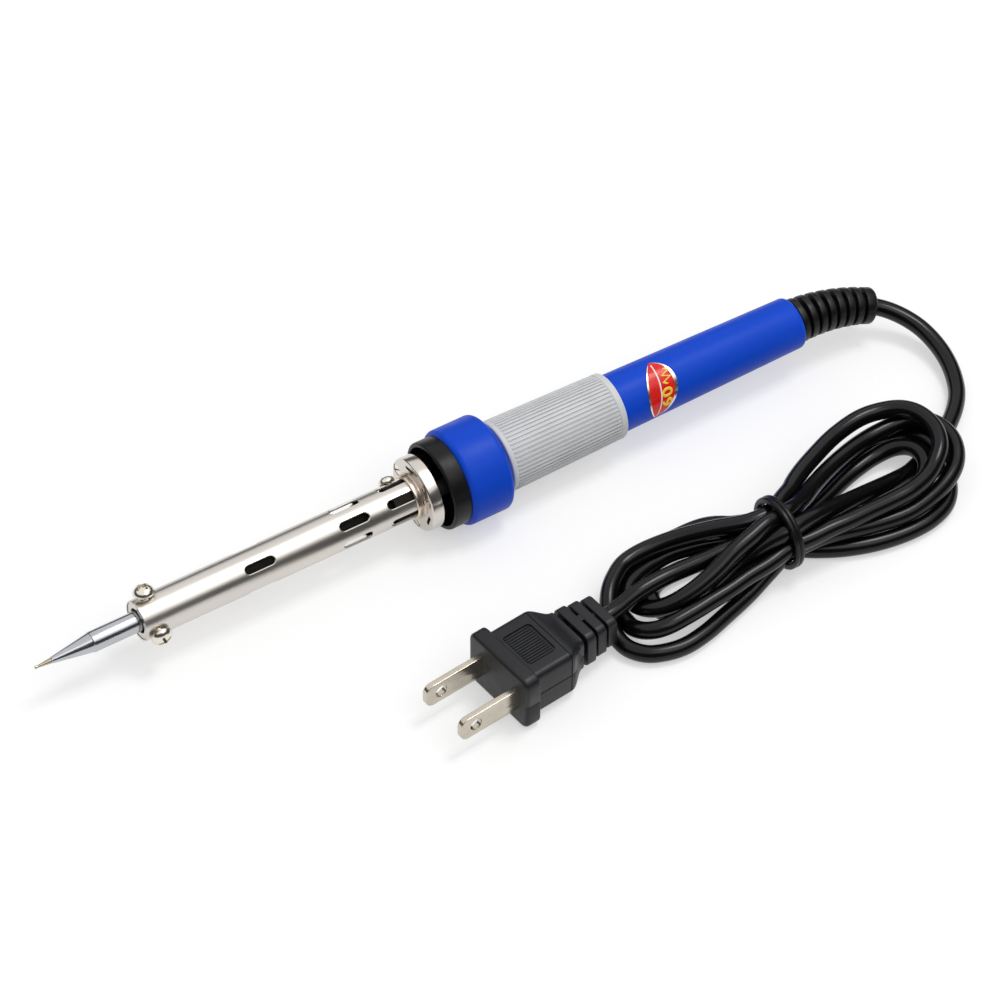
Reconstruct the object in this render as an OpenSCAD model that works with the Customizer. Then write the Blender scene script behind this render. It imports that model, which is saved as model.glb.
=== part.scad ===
// Hand-held electric soldering iron with a bundled mains lead and a two-blade plug.
// The iron lies along X, point towards -X, its collar touching the floor at Z = 0.
// The lead leaves the back of the handle, is tied in a hank beside it and ends in the plug.

/* [Tip] */
// Length of tip that stands out of the barrel
tip_reach = 26.4; // [20:0.2:40]
// Diameter of the tip's round shank
tip_rod_d = 5; // [4:0.1:5.4]
// Length of the cone, from the point to the shank
tip_cone = 14.3; // [8:0.1:18]
// Length of the tinned working end
tip_tinned = 4.2; // [2:0.1:6]
// Length of shank hidden in the barrel
tip_inside = 43.6; // [36:0.2:45]

/* [Barrel] */
// Outside diameter of the barrel
barrel_d = 10; // [9.4:0.1:11.2]
// Wall of the barrel
barrel_wall = 0.5; // [0.3:0.05:0.55]
// Length of barrel in front of the flange
barrel_show = 74.2; // [66:0.2:90]
// Width of a vent slot
slot_w = 2.2; // [1.2:0.1:2.8]
// End to end length of a vent slot
slot_len = 7.8; // [4:0.1:9]

/* [Screws] */
// Diameter of the screws in the barrel
screw_d = 2.5; // [2:0.1:3]
// Diameter of their pan heads
screw_head_d = 4.8; // [4:0.1:5.4]
// Gap left under the heads of the two tip screws
tip_screw_standoff = 0.9; // [0.3:0.1:1.5]
// Diameter of the flange screws
flange_screw_d = 2; // [1.6:0.1:2.2]

/* [Heater] */
// Wall of the tube that takes the tip
former_wall = 0.4; // [0.3:0.05:0.5]
// Diameter of the resistance wire
wire_d = 0.6; // [0.4:0.05:0.7]
// Length of the winding
winding_len = 33; // [24:1:35]

/* [Flange] */
// Diameter of the flange
flange_d = 18.4; // [17:0.1:19]
// Thickness of the flange
flange_t = 2.4; // [1.6:0.1:3]
// Air gap between the flange and the insulator ring
flange_gap = 2; // [1:0.1:4]
// Outside diameter of the insulator ring
ring_d = 22; // [21:0.1:23.4]
// Length of the insulator ring that shows
ring_len = 4.5; // [3.6:0.1:7]

/* [Handle] */
// Diameter of the collar, which sets the height of the axis over the floor
collar_d = 24; // [23.8:0.1:27]
// Length of the collar
collar_len = 11.4; // [9.6:0.1:16]
// Length of the handle from the collar's front to its back end
handle_len = 97.4; // [80:0.2:120]
// Diameter of the handle just behind the grip
handle_d = 14.7; // [13.8:0.1:15.6]
// Diameter of the handle at its back end
handle_end_d = 12.9; // [12:0.1:14]
// Bore of the handle
handle_bore = 9.4; // [9:0.1:10]
// Diameter of the grip at the front
grip_d = 17.9; // [17:0.1:19]
// Diameter of the grip at the back
grip_back_d = 16.6; // [16:0.1:18]
// Length of the grip
grip_len = 32.2; // [24:0.2:40]
// Gap between the collar and the grip
grip_gap = 1.5; // [0.5:0.1:3]

/* [Strain relief] */
// Length of the boot along its curve
boot_len = 21.6; // [20:0.1:28]
// Diameter of the boot's first rib
boot_d = 11; // [10:0.1:12]
// Diameter of its last rib
boot_end_d = 9; // [7:0.1:9.4]
// Number of ribs on the boot
boot_ribs = 8; // [6:1:10]
// Angle through which the boot bends
boot_turn = 23; // [10:1:40]

/* [Plug] */
// Centre distance of the two blades
blade_pitch = 12.7; // [12.7:0.1:12.7]
// Width of a blade
blade_w = 6.35; // [6.35:0.05:6.35]
// Thickness of a blade
blade_t = 1.5; // [1.4:0.05:1.6]
// Length of a blade outside the plug
blade_len = 16; // [15.9:0.1:18.2]
// Hole through each blade
blade_hole_d = 3.2; // [3:0.1:3.4]
// Width of the plug's front plate
plate_w = 24; // [23:0.5:27]
// Height of the plug's front plate
plate_h = 15.5; // [14:0.5:18]

/* [Lead] */
// Outside diameter of the mains lead
cord_d = 4.2; // [4:0.1:4.6]
// Diameter of the tied waist of the hank
waist_d = 15.4; // [15:0.1:16]

/* [Hidden] */

$fn = 64;
eps = 0.01;
fit = 0.02;              // pieces pressed or bonded together
slide_fit = 0.08;        // the tip in its tube and under its screws
loose = 0.2;             // holes that a screw only passes through

// Stations along the iron
overall = tip_reach + barrel_show + flange_t + flange_gap + ring_len + handle_len;
axis_z = collar_d / 2;
x_tip = -overall / 2;
x_nose = x_tip + tip_reach;
x_flange = x_nose + barrel_show;
x_spacer = x_flange + flange_t;
x_ring = x_spacer + flange_gap;
x_collar = x_ring + ring_len;
x_core = x_collar + collar_len;
x_grip = x_core + grip_gap;
x_grip_end = x_grip + grip_len;
x_end = overall / 2;

// Angles about the axis, from straight up towards -Y
view_side = 39;
upper_screw_a = view_side - 58;
lower_screw_a = view_side + 65;
barrel_screw_a = view_side - 90;

// Barrel and what it holds
barrel_id = barrel_d - 2 * barrel_wall;
tip_screw_x = x_nose + 3.2;
bush_len = 8;
bush_hole_d = tip_rod_d + 2 * slide_fit + 2 * former_wall + 0.14;
rear_bush_len = 9.6;
rear_bush_x = x_spacer - rear_bush_len;
rear_bush_hole = 6.2;
barrel_screw_x = rear_bush_x + 2;
barrel_screw_head_d = 4.1;
slot_rows = [[30.8, 4], [56, 6], [68.9, 6]];     // distance from the nose, slots around

// Heater
former_id = tip_rod_d + 2 * slide_fit;
former_od = former_id + 2 * former_wall;
former_in = 2;
former_x = x_nose + bush_len - former_in;
bead_x = x_nose + tip_inside + 3;
bead_len = 4;
mica_t = 0.15;
winding_end = bead_x - 2.5;
winding_x = winding_end - winding_len;
winding_r = former_od / 2 + mica_t;
lead_wire_d = 0.7;
wrap_r = winding_r + max(wire_d, lead_wire_d) + 2 * fit;
lead_out_r = winding_r + fit + lead_wire_d / 2;  // where the wires pass the bead
lead_r = 1.9;                                    // where they run on into the handle
lead_side = 45;
lead_step_x = bead_x + bead_len + 1.5;

// Flange stack
hub_d = 11.4;
hub_len = 1.6;
flange_screw_head_d = 3;
flange_screw_head = 0.9;
flange_screw_sunk = 0.1;
flange_screw_r = 7.35;
flange_screw_a = view_side + 10;
spacer_d = 3.4;
web_x = x_ring + 2.2;
ring_bore = handle_bore + 0.4;
cavity_d = 19.8;
spigot_d = 18.6;
spigot_len = 4;
flange_screw_bite = 4.5;
flange_screw_len = x_collar + spigot_len + flange_screw_bite - x_flange;

// Label behind the grip
label_front = 2.75;       // how far its two edges bulge
label_back = 5;
label_x = x_grip_end + 10.4 - label_front;
label_len = label_front + label_back;
label_half = 7.2;
label_side = view_side + 8;
label_skin = 0.12;

// Splices inside the handle
crimp_x = x_collar + 3;
crimp_len = 7;
crimp_d = 2.5;
sleeve_t = 0.4;
core_d = 1.7;
copper_d = 1.2;
jacket_x = x_end - 31;
core_pair_r = 0.95;
end_wall = 2.5;
boot_root_d = handle_bore - 0.2;
boot_root_len = 4.2;
boot_neck_d = 8.5;
boot_root_x = x_end - end_wall - fit - boot_root_len;
ferrule_len = 6;
ferrule_d = 6.4;

// Boot: an arc that droops and turns towards -Y
boot_r = boot_len / (boot_turn * PI / 180);
boot_plane = -42;
rib_t = 1.6;
last_rib_t = 2.8;
rib_start = 0.2;
rib_pitch = (boot_len - last_rib_t - rib_start) / (boot_ribs - 1);
boot_waist = 0.72;

// Plug: its own frame has X along the plug, with X = 0 at the plate's front face
plug_at = [-15.5, -56, plate_h / 2];
plug_turn = 6;
plate_t = 4;
plug_body_w = 20.5;
plug_body_h = 13;
plug_body_len = 10.5;
plug_shoulder = 5.5;
neck_w = 12.4;
neck_h = 10;
relief_len = 9.6;
relief_fins = 3;
relief_end_w = 10.4;
relief_end_h = 9.2;
relief_core = 6.6;
relief_gap = 0.9;
fin_t = 1.9;
plug_back = plate_t + plug_body_len + plug_shoulder;
relief_end = plug_back + relief_gap + relief_len;
blade_in = 9;
blade_hole_in = 4.3;     // from the blade's end to the centre of its hole
pocket_x = 2.4;
pocket_end = 15;
pocket_w = blade_pitch + 6.3;
pocket_h = 8;
bridge_x = 2.8;
bridge_len = 4;
bridge_gap = 0.35;
plug_crimp_d = 2.2;
plug_crimp_len = 3;
plug_crimp_x = bridge_x + bridge_len + 0.3;
plug_crimp_y = blade_t / 2 + plug_crimp_d / 2 + fit;
plug_lead_len = 19;

// The stretch of lead between the boot and the hank, laid by hand
route = [[123.9, -2.7, 9], [125.6, -3.6, 8.4], [127.2, -4.8, 7.9], [129.1, -6.8, 7.2], [131, -9.6, 6.3],
    [132.4, -12.9, 5.4], [133.1, -16.8, 4.5], [133.1, -21, 3.7], [132.3, -25.3, 3.1], [130.9, -29.3, 2.6],
    [128.9, -33, 2.3], [125.8, -36.6, 2.2], [122.1, -39.7, 2.2], [118.2, -42.3, 2.2], [114, -44.4, 2.2]];
tube_sides = 8;

// Hank: two lobes joined by a round waist, which the tie goes round
waist_at = [63.4, -53, 9.1];
waist_len = 9;
left_lobe = [35.2, -50.6, 18.8];
right_lobe = [99.6, -48.4, 19.4];
lobe_h = 13;
tie_w = 2.4;
tie_d = 18.2;
tie_squeeze = 0.05;

// ---- helpers ----

// Turns a profile of [radius, distance] about the iron's axis, from station x
module turned(x, a = 0) {
    translate([x, 0, axis_z]) rotate([a, 0, 0]) rotate([0, 90, 0]) rotate_extrude() children();
}

// Round bar along the iron's axis, from station x
module bar(x, len, d) {
    translate([x, 0, axis_z]) rotate([0, 90, 0]) cylinder(h = len, d = d);
}

// Tube along the iron's axis
module tube(x, len, od, id) {
    difference() {
        bar(x, len, od);
        bar(x - 1, len + 2, id);
    }
}

// Moves a shape drawn along +Z to station x, out along the radius at angle a
module radial(x, a, r = 0) {
    translate([x, 0, axis_z]) rotate([a, 0, 0]) translate([0, 0, r]) children();
}

// Straight rod from point p to point q
module rod(p, q, d) {
    v = q - p;
    translate(p) rotate([0, acos(v[2] / norm(v)), atan2(v[1], v[0])]) cylinder(h = norm(v), d = d);
}

function arc(c, r, a0, a1, n = 6) = [for (i = [0 : n]) let (a = a0 + (a1 - a0) * i / n)
    [c[0] + r * cos(a), c[1] + r * sin(a)]];

// Pan head with a cross recess and a plain shank; Z = 0 is the underside of the head
module pan_screw(d, head_d, len) {
    head_h = 0.36 * head_d;
    r = head_d / 2;
    difference() {
        union() {
            rotate_extrude() polygon(concat([[0, 0], [r * 0.96, 0]],
                [for (i = [0 : 6]) let (t = i * 15) [r * cos(t) ^ 0.6, head_h * (0.3 + 0.7 * sin(t))]],
                [[0, head_h]]));
            translate([0, 0, -len]) cylinder(h = len + eps, d = d);
        }
        for (a = [45, 135])
            rotate([0, 0, a]) translate([-r * 0.55, -r * 0.12, head_h * 0.45])
                cube([r * 1.1, r * 0.24, head_h]);
    }
}

// Round-ended slot cut, long side along X, straight through +Z
module slot_cut(len, w, h) {
    translate([-(len - w) / 2, -w / 2, 0]) cube([len - w, w, h]);
    for (s = [-1, 1]) translate([s * (len - w) / 2, 0, 0]) cylinder(h = h, d = w);
}

// ---- tip, barrel and screws ----

module tip() {
    color([0.72, 0.72, 0.73])
    turned(x_tip) polygon([[0, 0], [0.22, 0.12], [0.62, tip_tinned], [tip_rod_d / 2 - 0.08, tip_cone],
        [tip_rod_d / 2, tip_cone + 0.05], [tip_rod_d / 2, tip_reach + tip_inside - 0.4],
        [tip_rod_d / 2 - 0.4, tip_reach + tip_inside], [0, tip_reach + tip_inside]]);
}

module nose_bushing() {
    color([0.78, 0.76, 0.73])
    difference() {
        bar(x_nose, bush_len, barrel_id - 2 * fit);
        bar(x_nose - 1, bush_len + 2, bush_hole_d);
        for (a = [upper_screw_a, lower_screw_a])
            radial(tip_screw_x, a) cylinder(h = barrel_d, d = screw_d + 2 * fit);
    }
}

module barrel_tube() {
    color([0.80, 0.79, 0.76])
    difference() {
        tube(x_nose, x_spacer - x_nose, barrel_d, barrel_id);
        for (row = slot_rows, k = [0 : row[1] - 1])
            radial(x_nose + row[0], view_side + 360 * k / row[1], barrel_id / 4)
                slot_cut(slot_len, slot_w, barrel_d);
        for (a = [upper_screw_a, lower_screw_a])
            radial(tip_screw_x, a, barrel_id / 4) cylinder(h = barrel_d, d = screw_d + loose);
        radial(barrel_screw_x, barrel_screw_a, barrel_id / 4) cylinder(h = barrel_d, d = screw_d + loose);
    }
}

module rear_bushing() {
    color([0.70, 0.69, 0.66])
    difference() {
        bar(rear_bush_x, rear_bush_len, barrel_id - 2 * fit);
        bar(rear_bush_x - 1, rear_bush_len + 2, rear_bush_hole);
        radial(barrel_screw_x, barrel_screw_a) cylinder(h = barrel_d, d = screw_d + 2 * fit);
    }
}

module tip_screw(a) {
    r = barrel_d / 2 + tip_screw_standoff;
    color([0.83, 0.82, 0.80])
    radial(tip_screw_x, a, r) pan_screw(screw_d, screw_head_d, r - tip_rod_d / 2 - slide_fit);
}

module tip_screw_upper() { tip_screw(upper_screw_a); }

module tip_screw_lower() { tip_screw(lower_screw_a); }

module barrel_screw() {
    r = barrel_d / 2 + fit;
    color([0.83, 0.82, 0.80])
    radial(barrel_screw_x, barrel_screw_a, r)
        pan_screw(screw_d, barrel_screw_head_d, r - rear_bush_hole / 2 - 0.2);
}

// ---- heater ----

module heater_former() {
    color([0.62, 0.60, 0.56]) tube(former_x, bead_x - former_x - fit, former_od, former_id);
}

// Close-wound wire drawn as a turned profile of half-round ridges
module heater_winding() {
    turns = floor(winding_len / wire_d);
    ridge = wire_d / 2;
    color([0.45, 0.42, 0.40])
    turned(winding_x) polygon(concat([[winding_r, 0]],
        [for (i = [0 : turns - 1], t = [-60, 0, 60])
            [winding_r + ridge * (1 + cos(t)), wire_d * (i + 0.5) + ridge * sin(t)]],
        [[winding_r, wire_d * turns]]));
}

module heater_wrap() {
    color([0.86, 0.80, 0.66])
    tube(winding_x - 2, winding_len + 4, 2 * (wrap_r + mica_t), 2 * wrap_r);
}

module heater_end_bead() {
    color([0.92, 0.90, 0.85])
    difference() {
        bar(bead_x, bead_len, barrel_id - 2 * fit);
        for (s = [0, 180]) radial(0, lead_side + s)
            rod([bead_x - 1, 0, lead_out_r], [bead_x + bead_len + 1, 0, lead_out_r], lead_wire_d + 2 * fit);
    }
}

// Wires from the winding's end, out through the bead, then back into the handle
module heater_leads() {
    step_d = lead_wire_d * 1.15;
    color([0.66, 0.66, 0.64])
    for (s = [0, 180]) radial(0, lead_side + s) {
        rod([winding_end + fit, 0, lead_out_r], [lead_step_x, 0, lead_out_r], lead_wire_d);
        rod([lead_step_x, 0, lead_out_r + step_d / 2], [lead_step_x, 0, lead_r - step_d / 2], step_d);
        rod([lead_step_x, 0, lead_r], [crimp_x + crimp_len / 2, 0, lead_r], lead_wire_d);
    }
}

module lead_sleeves() {
    x = lead_step_x + lead_wire_d;
    color([0.90, 0.88, 0.80])
    for (s = [0, 180]) radial(0, lead_side + s) difference() {
        rod([x, 0, lead_r], [crimp_x - fit, 0, lead_r], lead_wire_d + 1);
        rod([x - 1, 0, lead_r], [crimp_x + 1, 0, lead_r], lead_wire_d + 2 * fit);
    }
}

// ---- flange and insulator ----

module at_flange_screws(x) {
    for (k = [0 : 2]) translate([x, 0, axis_z]) rotate([flange_screw_a + 120 * k, 0, 0])
        translate([0, 0, flange_screw_r]) rotate([0, 90, 0]) children();
}

module mounting_flange() {
    r = flange_d / 2;
    edge = 0.5;
    color([0.80, 0.78, 0.74])
    difference() {
        turned(x_flange - hub_len) polygon(concat(
            [[barrel_d / 2 + fit, 0], [hub_d / 2 - 0.3, 0], [hub_d / 2, 0.3], [hub_d / 2, hub_len]],
            arc([r - edge, hub_len + edge], edge, -90, 0),
            arc([r - edge, hub_len + flange_t - edge], edge, 0, 90),
            [[barrel_d / 2 + fit, hub_len + flange_t]]));
        at_flange_screws(x_flange - 1) cylinder(h = flange_t + 2, d = flange_screw_d + loose);
        at_flange_screws(x_flange - 1)
            cylinder(h = 1 + flange_screw_sunk + flange_screw_head + fit, d = flange_screw_head_d + loose);
        for (k = [0 : 2]) radial(x_flange - 1, flange_screw_a + 60 + 120 * k, flange_screw_r)
            rotate([0, 90, 0]) rotate([0, 0, 90]) slot_cut(3.4, 0.9, flange_t + 2);
    }
}

module flange_spacers() {
    color([0.88, 0.86, 0.80])
    difference() {
        at_flange_screws(x_spacer) cylinder(h = web_x - x_spacer, d = spacer_d);
        at_flange_screws(x_spacer - 1) cylinder(h = web_x - x_spacer + 2, d = flange_screw_d + loose);
    }
}

// Their heads are sunk in the flange, so its face can seat
module flange_screws() {
    x = x_flange + flange_screw_sunk;
    color([0.62, 0.61, 0.60])
    difference() {
        union() {
            at_flange_screws(x) cylinder(h = flange_screw_head, d = flange_screw_head_d);
            at_flange_screws(x + eps) cylinder(h = flange_screw_len, d = flange_screw_d);
        }
        at_flange_screws(x - eps) translate([-1.6, -0.2, 0]) cube([3.2, 0.4, 0.5]);
    }
}

module insulator_ring() {
    r = ring_d / 2;
    edge = 0.8;
    back = ring_len + spigot_len;
    color([0.09, 0.09, 0.10])
    difference() {
        turned(x_ring) polygon(concat(
            [[ring_bore / 2, web_x - x_ring], [cavity_d / 2, web_x - x_ring]],
            [[cavity_d / 2, 0.3], [cavity_d / 2 + 0.3, 0]],
            arc([r - edge, edge], edge, -90, 0),
            [[r, ring_len], [spigot_d / 2, ring_len], [spigot_d / 2, back], [ring_bore / 2, back]]));
        at_flange_screws(web_x - 1) cylinder(h = back + 2, d = flange_screw_d + loose);
    }
}

// ---- handle ----

// Radius of the tapered part of the handle at station x
function handle_r(x) = (handle_d
    + (handle_end_d - handle_d) * max(0, x - x_grip_end) / (x_end - x_grip_end)) / 2;

module handle_shell() {
    r = collar_d / 2;
    edge = 1.3;
    recess = spigot_len + 0.1;
    screw_end = x_flange + flange_screw_sunk + flange_screw_len + 0.3;
    color([0.04, 0.22, 0.78])
    difference() {
        turned(x_collar) polygon(concat(
            [[spigot_d / 2 + fit, 0]],
            arc([r - edge, edge], edge, -90, 0),
            arc([r - edge, collar_len - edge], edge, 0, 90),
            [[handle_d / 2, collar_len], [handle_d / 2, x_grip_end - x_collar]],
            arc([handle_end_d / 2 - edge, handle_len - edge], edge, 0, 90),
            [[boot_neck_d / 2 + fit, handle_len], [boot_neck_d / 2 + fit, handle_len - end_wall],
            [handle_bore / 2, handle_len - end_wall], [handle_bore / 2, recess],
            [spigot_d / 2 + fit, recess]]));
        at_flange_screws(x_collar) cylinder(h = screw_end - x_collar, d = flange_screw_d + 2 * fit);
    }
}

module grip_sleeve() {
    color([0.77, 0.78, 0.79])
    turned(x_grip) polygon(concat([[handle_d / 2 + fit, 0]],
        arc([grip_d / 2 - 0.4, 0.4], 0.4, -90, 0),
        arc([grip_back_d / 2 - 0.8, grip_len - 0.8], 0.8, 0, 90),
        [[handle_d / 2 + fit, grip_len]]));
}

// Radius of an edge that bulges by depth over the label's width
function label_r(depth) = (label_half * label_half + depth * depth) / (2 * depth);

// Thin label wrapped on the handle, flatter at the front than at the back
module rating_label() {
    r0 = handle_r(label_x) + fit;
    r1 = handle_r(label_x + label_len) + fit;
    color([0.80, 0.12, 0.10])
    intersection() {
        turned(label_x)
            polygon([[r0, 0], [r0 + label_skin, 0], [r1 + label_skin, label_len], [r1, label_len]]);
        radial(label_x + label_front, label_side) intersection_for (e = [[1, label_front], [-1, label_back]])
            translate([e[0] * (label_r(e[1]) - e[1]), 0, 0])
                cylinder(h = handle_d, r = label_r(e[1]), $fn = 96);
    }
}

// ---- inside the handle ----

module splice_crimps() {
    color([0.75, 0.74, 0.70])
    for (s = [0, 180]) radial(0, lead_side + s) difference() {
        rod([crimp_x, 0, lead_r], [crimp_x + crimp_len, 0, lead_r], crimp_d);
        rod([crimp_x - 1, 0, lead_r], [crimp_x + crimp_len / 2 + fit, 0, lead_r], lead_wire_d + 2 * fit);
        rod([crimp_x + crimp_len / 2 + 0.1, 0, lead_r], [crimp_x + crimp_len + 1, 0, lead_r],
            copper_d + 2 * fit);
    }
}

module splice_sleeves() {
    inner = crimp_d + 2 * fit;
    color([0.15, 0.15, 0.16])
    for (s = [0, 180]) radial(0, lead_side + s) difference() {
        rod([crimp_x, 0, lead_r], [crimp_x + crimp_len + 2, 0, lead_r], inner + 2 * sleeve_t);
        rod([crimp_x - 1, 0, lead_r], [crimp_x + crimp_len + 3, 0, lead_r], inner);
    }
}

module cord_cores() {
    x0 = crimp_x + crimp_len + fit;
    x1 = jacket_x - 4;
    bend_d = core_d + 0.06;
    color([0.85, 0.85, 0.86])
    for (s = [0, 180]) radial(0, lead_side + s) {
        rod([crimp_x + crimp_len / 2 + 0.2, 0, lead_r], [x0 + 1, 0, lead_r], copper_d);
        rod([x0, 0, lead_r], [x1, 0, lead_r], core_d);
        translate([x1, 0, lead_r]) sphere(d = bend_d);
        rod([x1, 0, lead_r], [jacket_x, 0, core_pair_r], core_d);
        translate([jacket_x, 0, core_pair_r]) sphere(d = bend_d);
        rod([jacket_x, 0, core_pair_r], [jacket_x + 3, 0, core_pair_r], core_d);
    }
}

module cord_jacket() {
    color([0.08, 0.08, 0.09])
    difference() {
        bar(jacket_x, boot_root_x - fit - jacket_x, cord_d);
        for (s = [0, 180]) radial(0, lead_side + s)
            rod([jacket_x - 1, 0, core_pair_r], [jacket_x + 3.1, 0, core_pair_r], core_d + 0.12);
    }
}

module cord_ferrule() {
    color([0.75, 0.74, 0.70]) tube(boot_root_x - fit - ferrule_len, ferrule_len, ferrule_d, cord_d + 2 * fit);
}

// ---- strain relief boot ----

// Moves a shape drawn along +Z to the point at distance s along the boot's arc
module on_boot(s) {
    a = boot_turn * s / boot_len;
    translate([x_end, 0, axis_z]) rotate([boot_plane, 0, 0])
        translate([boot_r * sin(a), 0, -boot_r * (1 - cos(a))]) rotate([0, 90 + a, 0]) children();
}

function boot_rib_d(i) = boot_d + (boot_end_d - boot_d) * i / (boot_ribs - 1);

module cord_boot() {
    color([0.07, 0.07, 0.08]) {
        bar(boot_root_x, boot_root_len, boot_root_d);
        bar(boot_root_x, x_end + 0.4 - boot_root_x, boot_neck_d);
        for (i = [0 : boot_ribs - 1]) on_boot(rib_start + i * rib_pitch)
            cylinder(h = i < boot_ribs - 1 ? rib_t : last_rib_t, d = boot_rib_d(i));
        for (i = [0 : boot_ribs - 2]) on_boot(2 * rib_start + i * rib_pitch)
            cylinder(h = rib_pitch, d = boot_waist * boot_rib_d(i));
    }
}

// ---- lead, hank and tie ----

function unit(v) = v / norm(v);
function along(p, i) = unit(p[min(i + 1, len(p) - 1)] - p[max(i - 1, 0)]);

// Tube of a few sides along a list of points
module sweep(p, d, sides) {
    n = len(p);
    rings = [for (i = [0 : n - 1])
        let (t = along(p, i), u = unit(cross([0, 0, 1], t)), w = cross(t, u))
        for (k = [0 : sides - 1]) p[i] + d / 2 * (cos(360 * k / sides) * u + sin(360 * k / sides) * w)];
    sides_faces = [for (i = [0 : n - 2], k = [0 : sides - 1])
        let (a = i * sides + k, b = i * sides + (k + 1) % sides)
        each [[a, a + sides, b], [b, a + sides, b + sides]]];
    caps = [[for (k = [0 : sides - 1]) k], [for (k = [sides - 1 : -1 : 0]) (n - 1) * sides + k]];
    polyhedron(points = rings, faces = concat(sides_faces, caps));
}

module mains_lead() {
    color([0.07, 0.07, 0.08]) sweep(route, cord_d, tube_sides);
}

module lobe(c) {
    hull() {
        translate([c[0], c[1]]) circle(r = c[2], $fn = 40);
        translate([waist_at[0], waist_at[1]]) circle(d = waist_d * 0.9, $fn = 24);
    }
}

module cord_hank() {
    color([0.07, 0.07, 0.08]) {
        difference() {
            linear_extrude(height = lobe_h) {
                lobe(left_lobe);
                lobe(right_lobe);
            }
            translate([waist_at[0] - waist_len / 2, waist_at[1] - 20, -1]) cube([waist_len, 40, lobe_h + 2]);
        }
        translate([waist_at[0] - waist_len / 2 - 1, waist_at[1], waist_at[2]])
            rotate([0, 90, 0]) cylinder(h = waist_len + 2, d = waist_d);
    }
}

module cord_tie() {
    color([0.06, 0.06, 0.07])
    translate([waist_at[0] - tie_w / 2, waist_at[1], waist_at[2]]) rotate([0, 90, 0]) difference() {
        cylinder(h = tie_w, d = tie_d);
        translate([0, 0, -1]) cylinder(h = tie_w + 2, d = waist_d - 2 * tie_squeeze);
    }
}

// ---- plug ----

module in_plug() {
    translate(plug_at) rotate([0, 0, plug_turn]) children();
}

// Rounded plate, drawn as a Y-Z outline pushed along +X
module plate(w, h, t, r) {
    rotate([90, 0, 90]) linear_extrude(height = t) {
        square([w - 2 * r, h], center = true);
        square([w, h - 2 * r], center = true);
        for (a = [-1, 1], b = [-1, 1]) translate([a * (w / 2 - r), b * (h / 2 - r)]) circle(r = r);
    }
}

module at_blades() {
    for (s = [-1, 1]) translate([0, s * blade_pitch / 2, 0]) children();
}

module blade_bar(grow) {
    translate([-blade_len, -blade_t / 2 - grow, -blade_w / 2 - grow])
        cube([blade_len + blade_in, blade_t + 2 * grow, blade_w + 2 * grow]);
}

module relief_fin(i) {
    t = i / (relief_fins - 1);
    w = neck_w + (relief_end_w - neck_w) * t;
    h = neck_h + (relief_end_h - neck_h) * t;
    pitch = (relief_len - fin_t) / (relief_fins - 1);
    translate([plug_back + relief_gap + i * pitch, 0, 0]) plate(w, h, fin_t, 1.6);
}

module plug_body() {
    color([0.10, 0.10, 0.11])
    in_plug() difference() {
        union() {
            plate(plate_w, plate_h, plate_t, 2.6);
            translate([plate_t - eps, 0, 0]) plate(plug_body_w, plug_body_h, plug_body_len + eps, 2);
            hull() {
                translate([plate_t + plug_body_len - eps, 0, 0]) plate(plug_body_w, plug_body_h, 0.1, 2);
                translate([plug_back - 0.1, 0, 0]) plate(neck_w, neck_h, 0.1, 2);
            }
            for (i = [0 : relief_fins - 1]) relief_fin(i);
            translate([plug_back - eps, -relief_core / 2, -relief_core / 2])
                cube([relief_end - plug_back, relief_core, relief_core]);
        }
        translate([pocket_x, -pocket_w / 2, -pocket_h / 2]) cube([pocket_end - pocket_x, pocket_w, pocket_h]);
        rod([pocket_end - 1, 0, 0], [relief_end + 1, 0, 0], cord_d);
        at_blades() blade_bar(fit);
    }
}

// End of the lead, from inside the plug to the hank
module plug_lead() {
    x0 = pocket_end - 0.2;
    color([0.07, 0.07, 0.08]) in_plug() rod([x0, 0, 0], [x0 + plug_lead_len, 0, 0], cord_d);
}

module plug_blades() {
    nose = 1.2;
    color([0.80, 0.77, 0.72])
    in_plug() at_blades() difference() {
        blade_bar(0);
        translate([-blade_len + blade_hole_in, 5, 0]) rotate([90, 0, 0]) cylinder(h = 10, d = blade_hole_d);
        for (s = [-1, 1]) translate([-blade_len, 0, s * blade_w / 2]) rotate([0, 45, 0])
            cube([nose, 10, nose], center = true);
    }
}

module plug_bridge() {
    color([0.85, 0.84, 0.80])
    in_plug() difference() {
        translate([bridge_x, bridge_gap - pocket_w / 2, -(pocket_h - 0.2) / 2])
            cube([bridge_len, pocket_w - 2 * bridge_gap, pocket_h - 0.2]);
        at_blades() blade_bar(fit);
    }
}

module plug_crimps() {
    color([0.78, 0.72, 0.55])
    in_plug() at_blades() translate([plug_crimp_x, plug_crimp_y, 0]) rotate([0, 90, 0]) difference() {
        cylinder(h = plug_crimp_len, d = plug_crimp_d);
        translate([0, 0, -1]) cylinder(h = plug_crimp_len + 2, d = copper_d + 2 * fit);
    }
}

module plug_cores() {
    bend_x = plug_crimp_x + plug_crimp_len + 1;
    end_x = pocket_end - 1.1;
    color([0.85, 0.85, 0.86])
    in_plug() for (s = [-1, 1]) {
        y0 = s * blade_pitch / 2 + plug_crimp_y;
        rod([plug_crimp_x + 0.4, y0, 0], [bend_x, y0, 0], copper_d);
        translate([bend_x, y0, 0]) sphere(d = core_d + 0.5);
        rod([bend_x, y0, 0], [end_x, s * 1.4, 0], core_d);
    }
}

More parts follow.
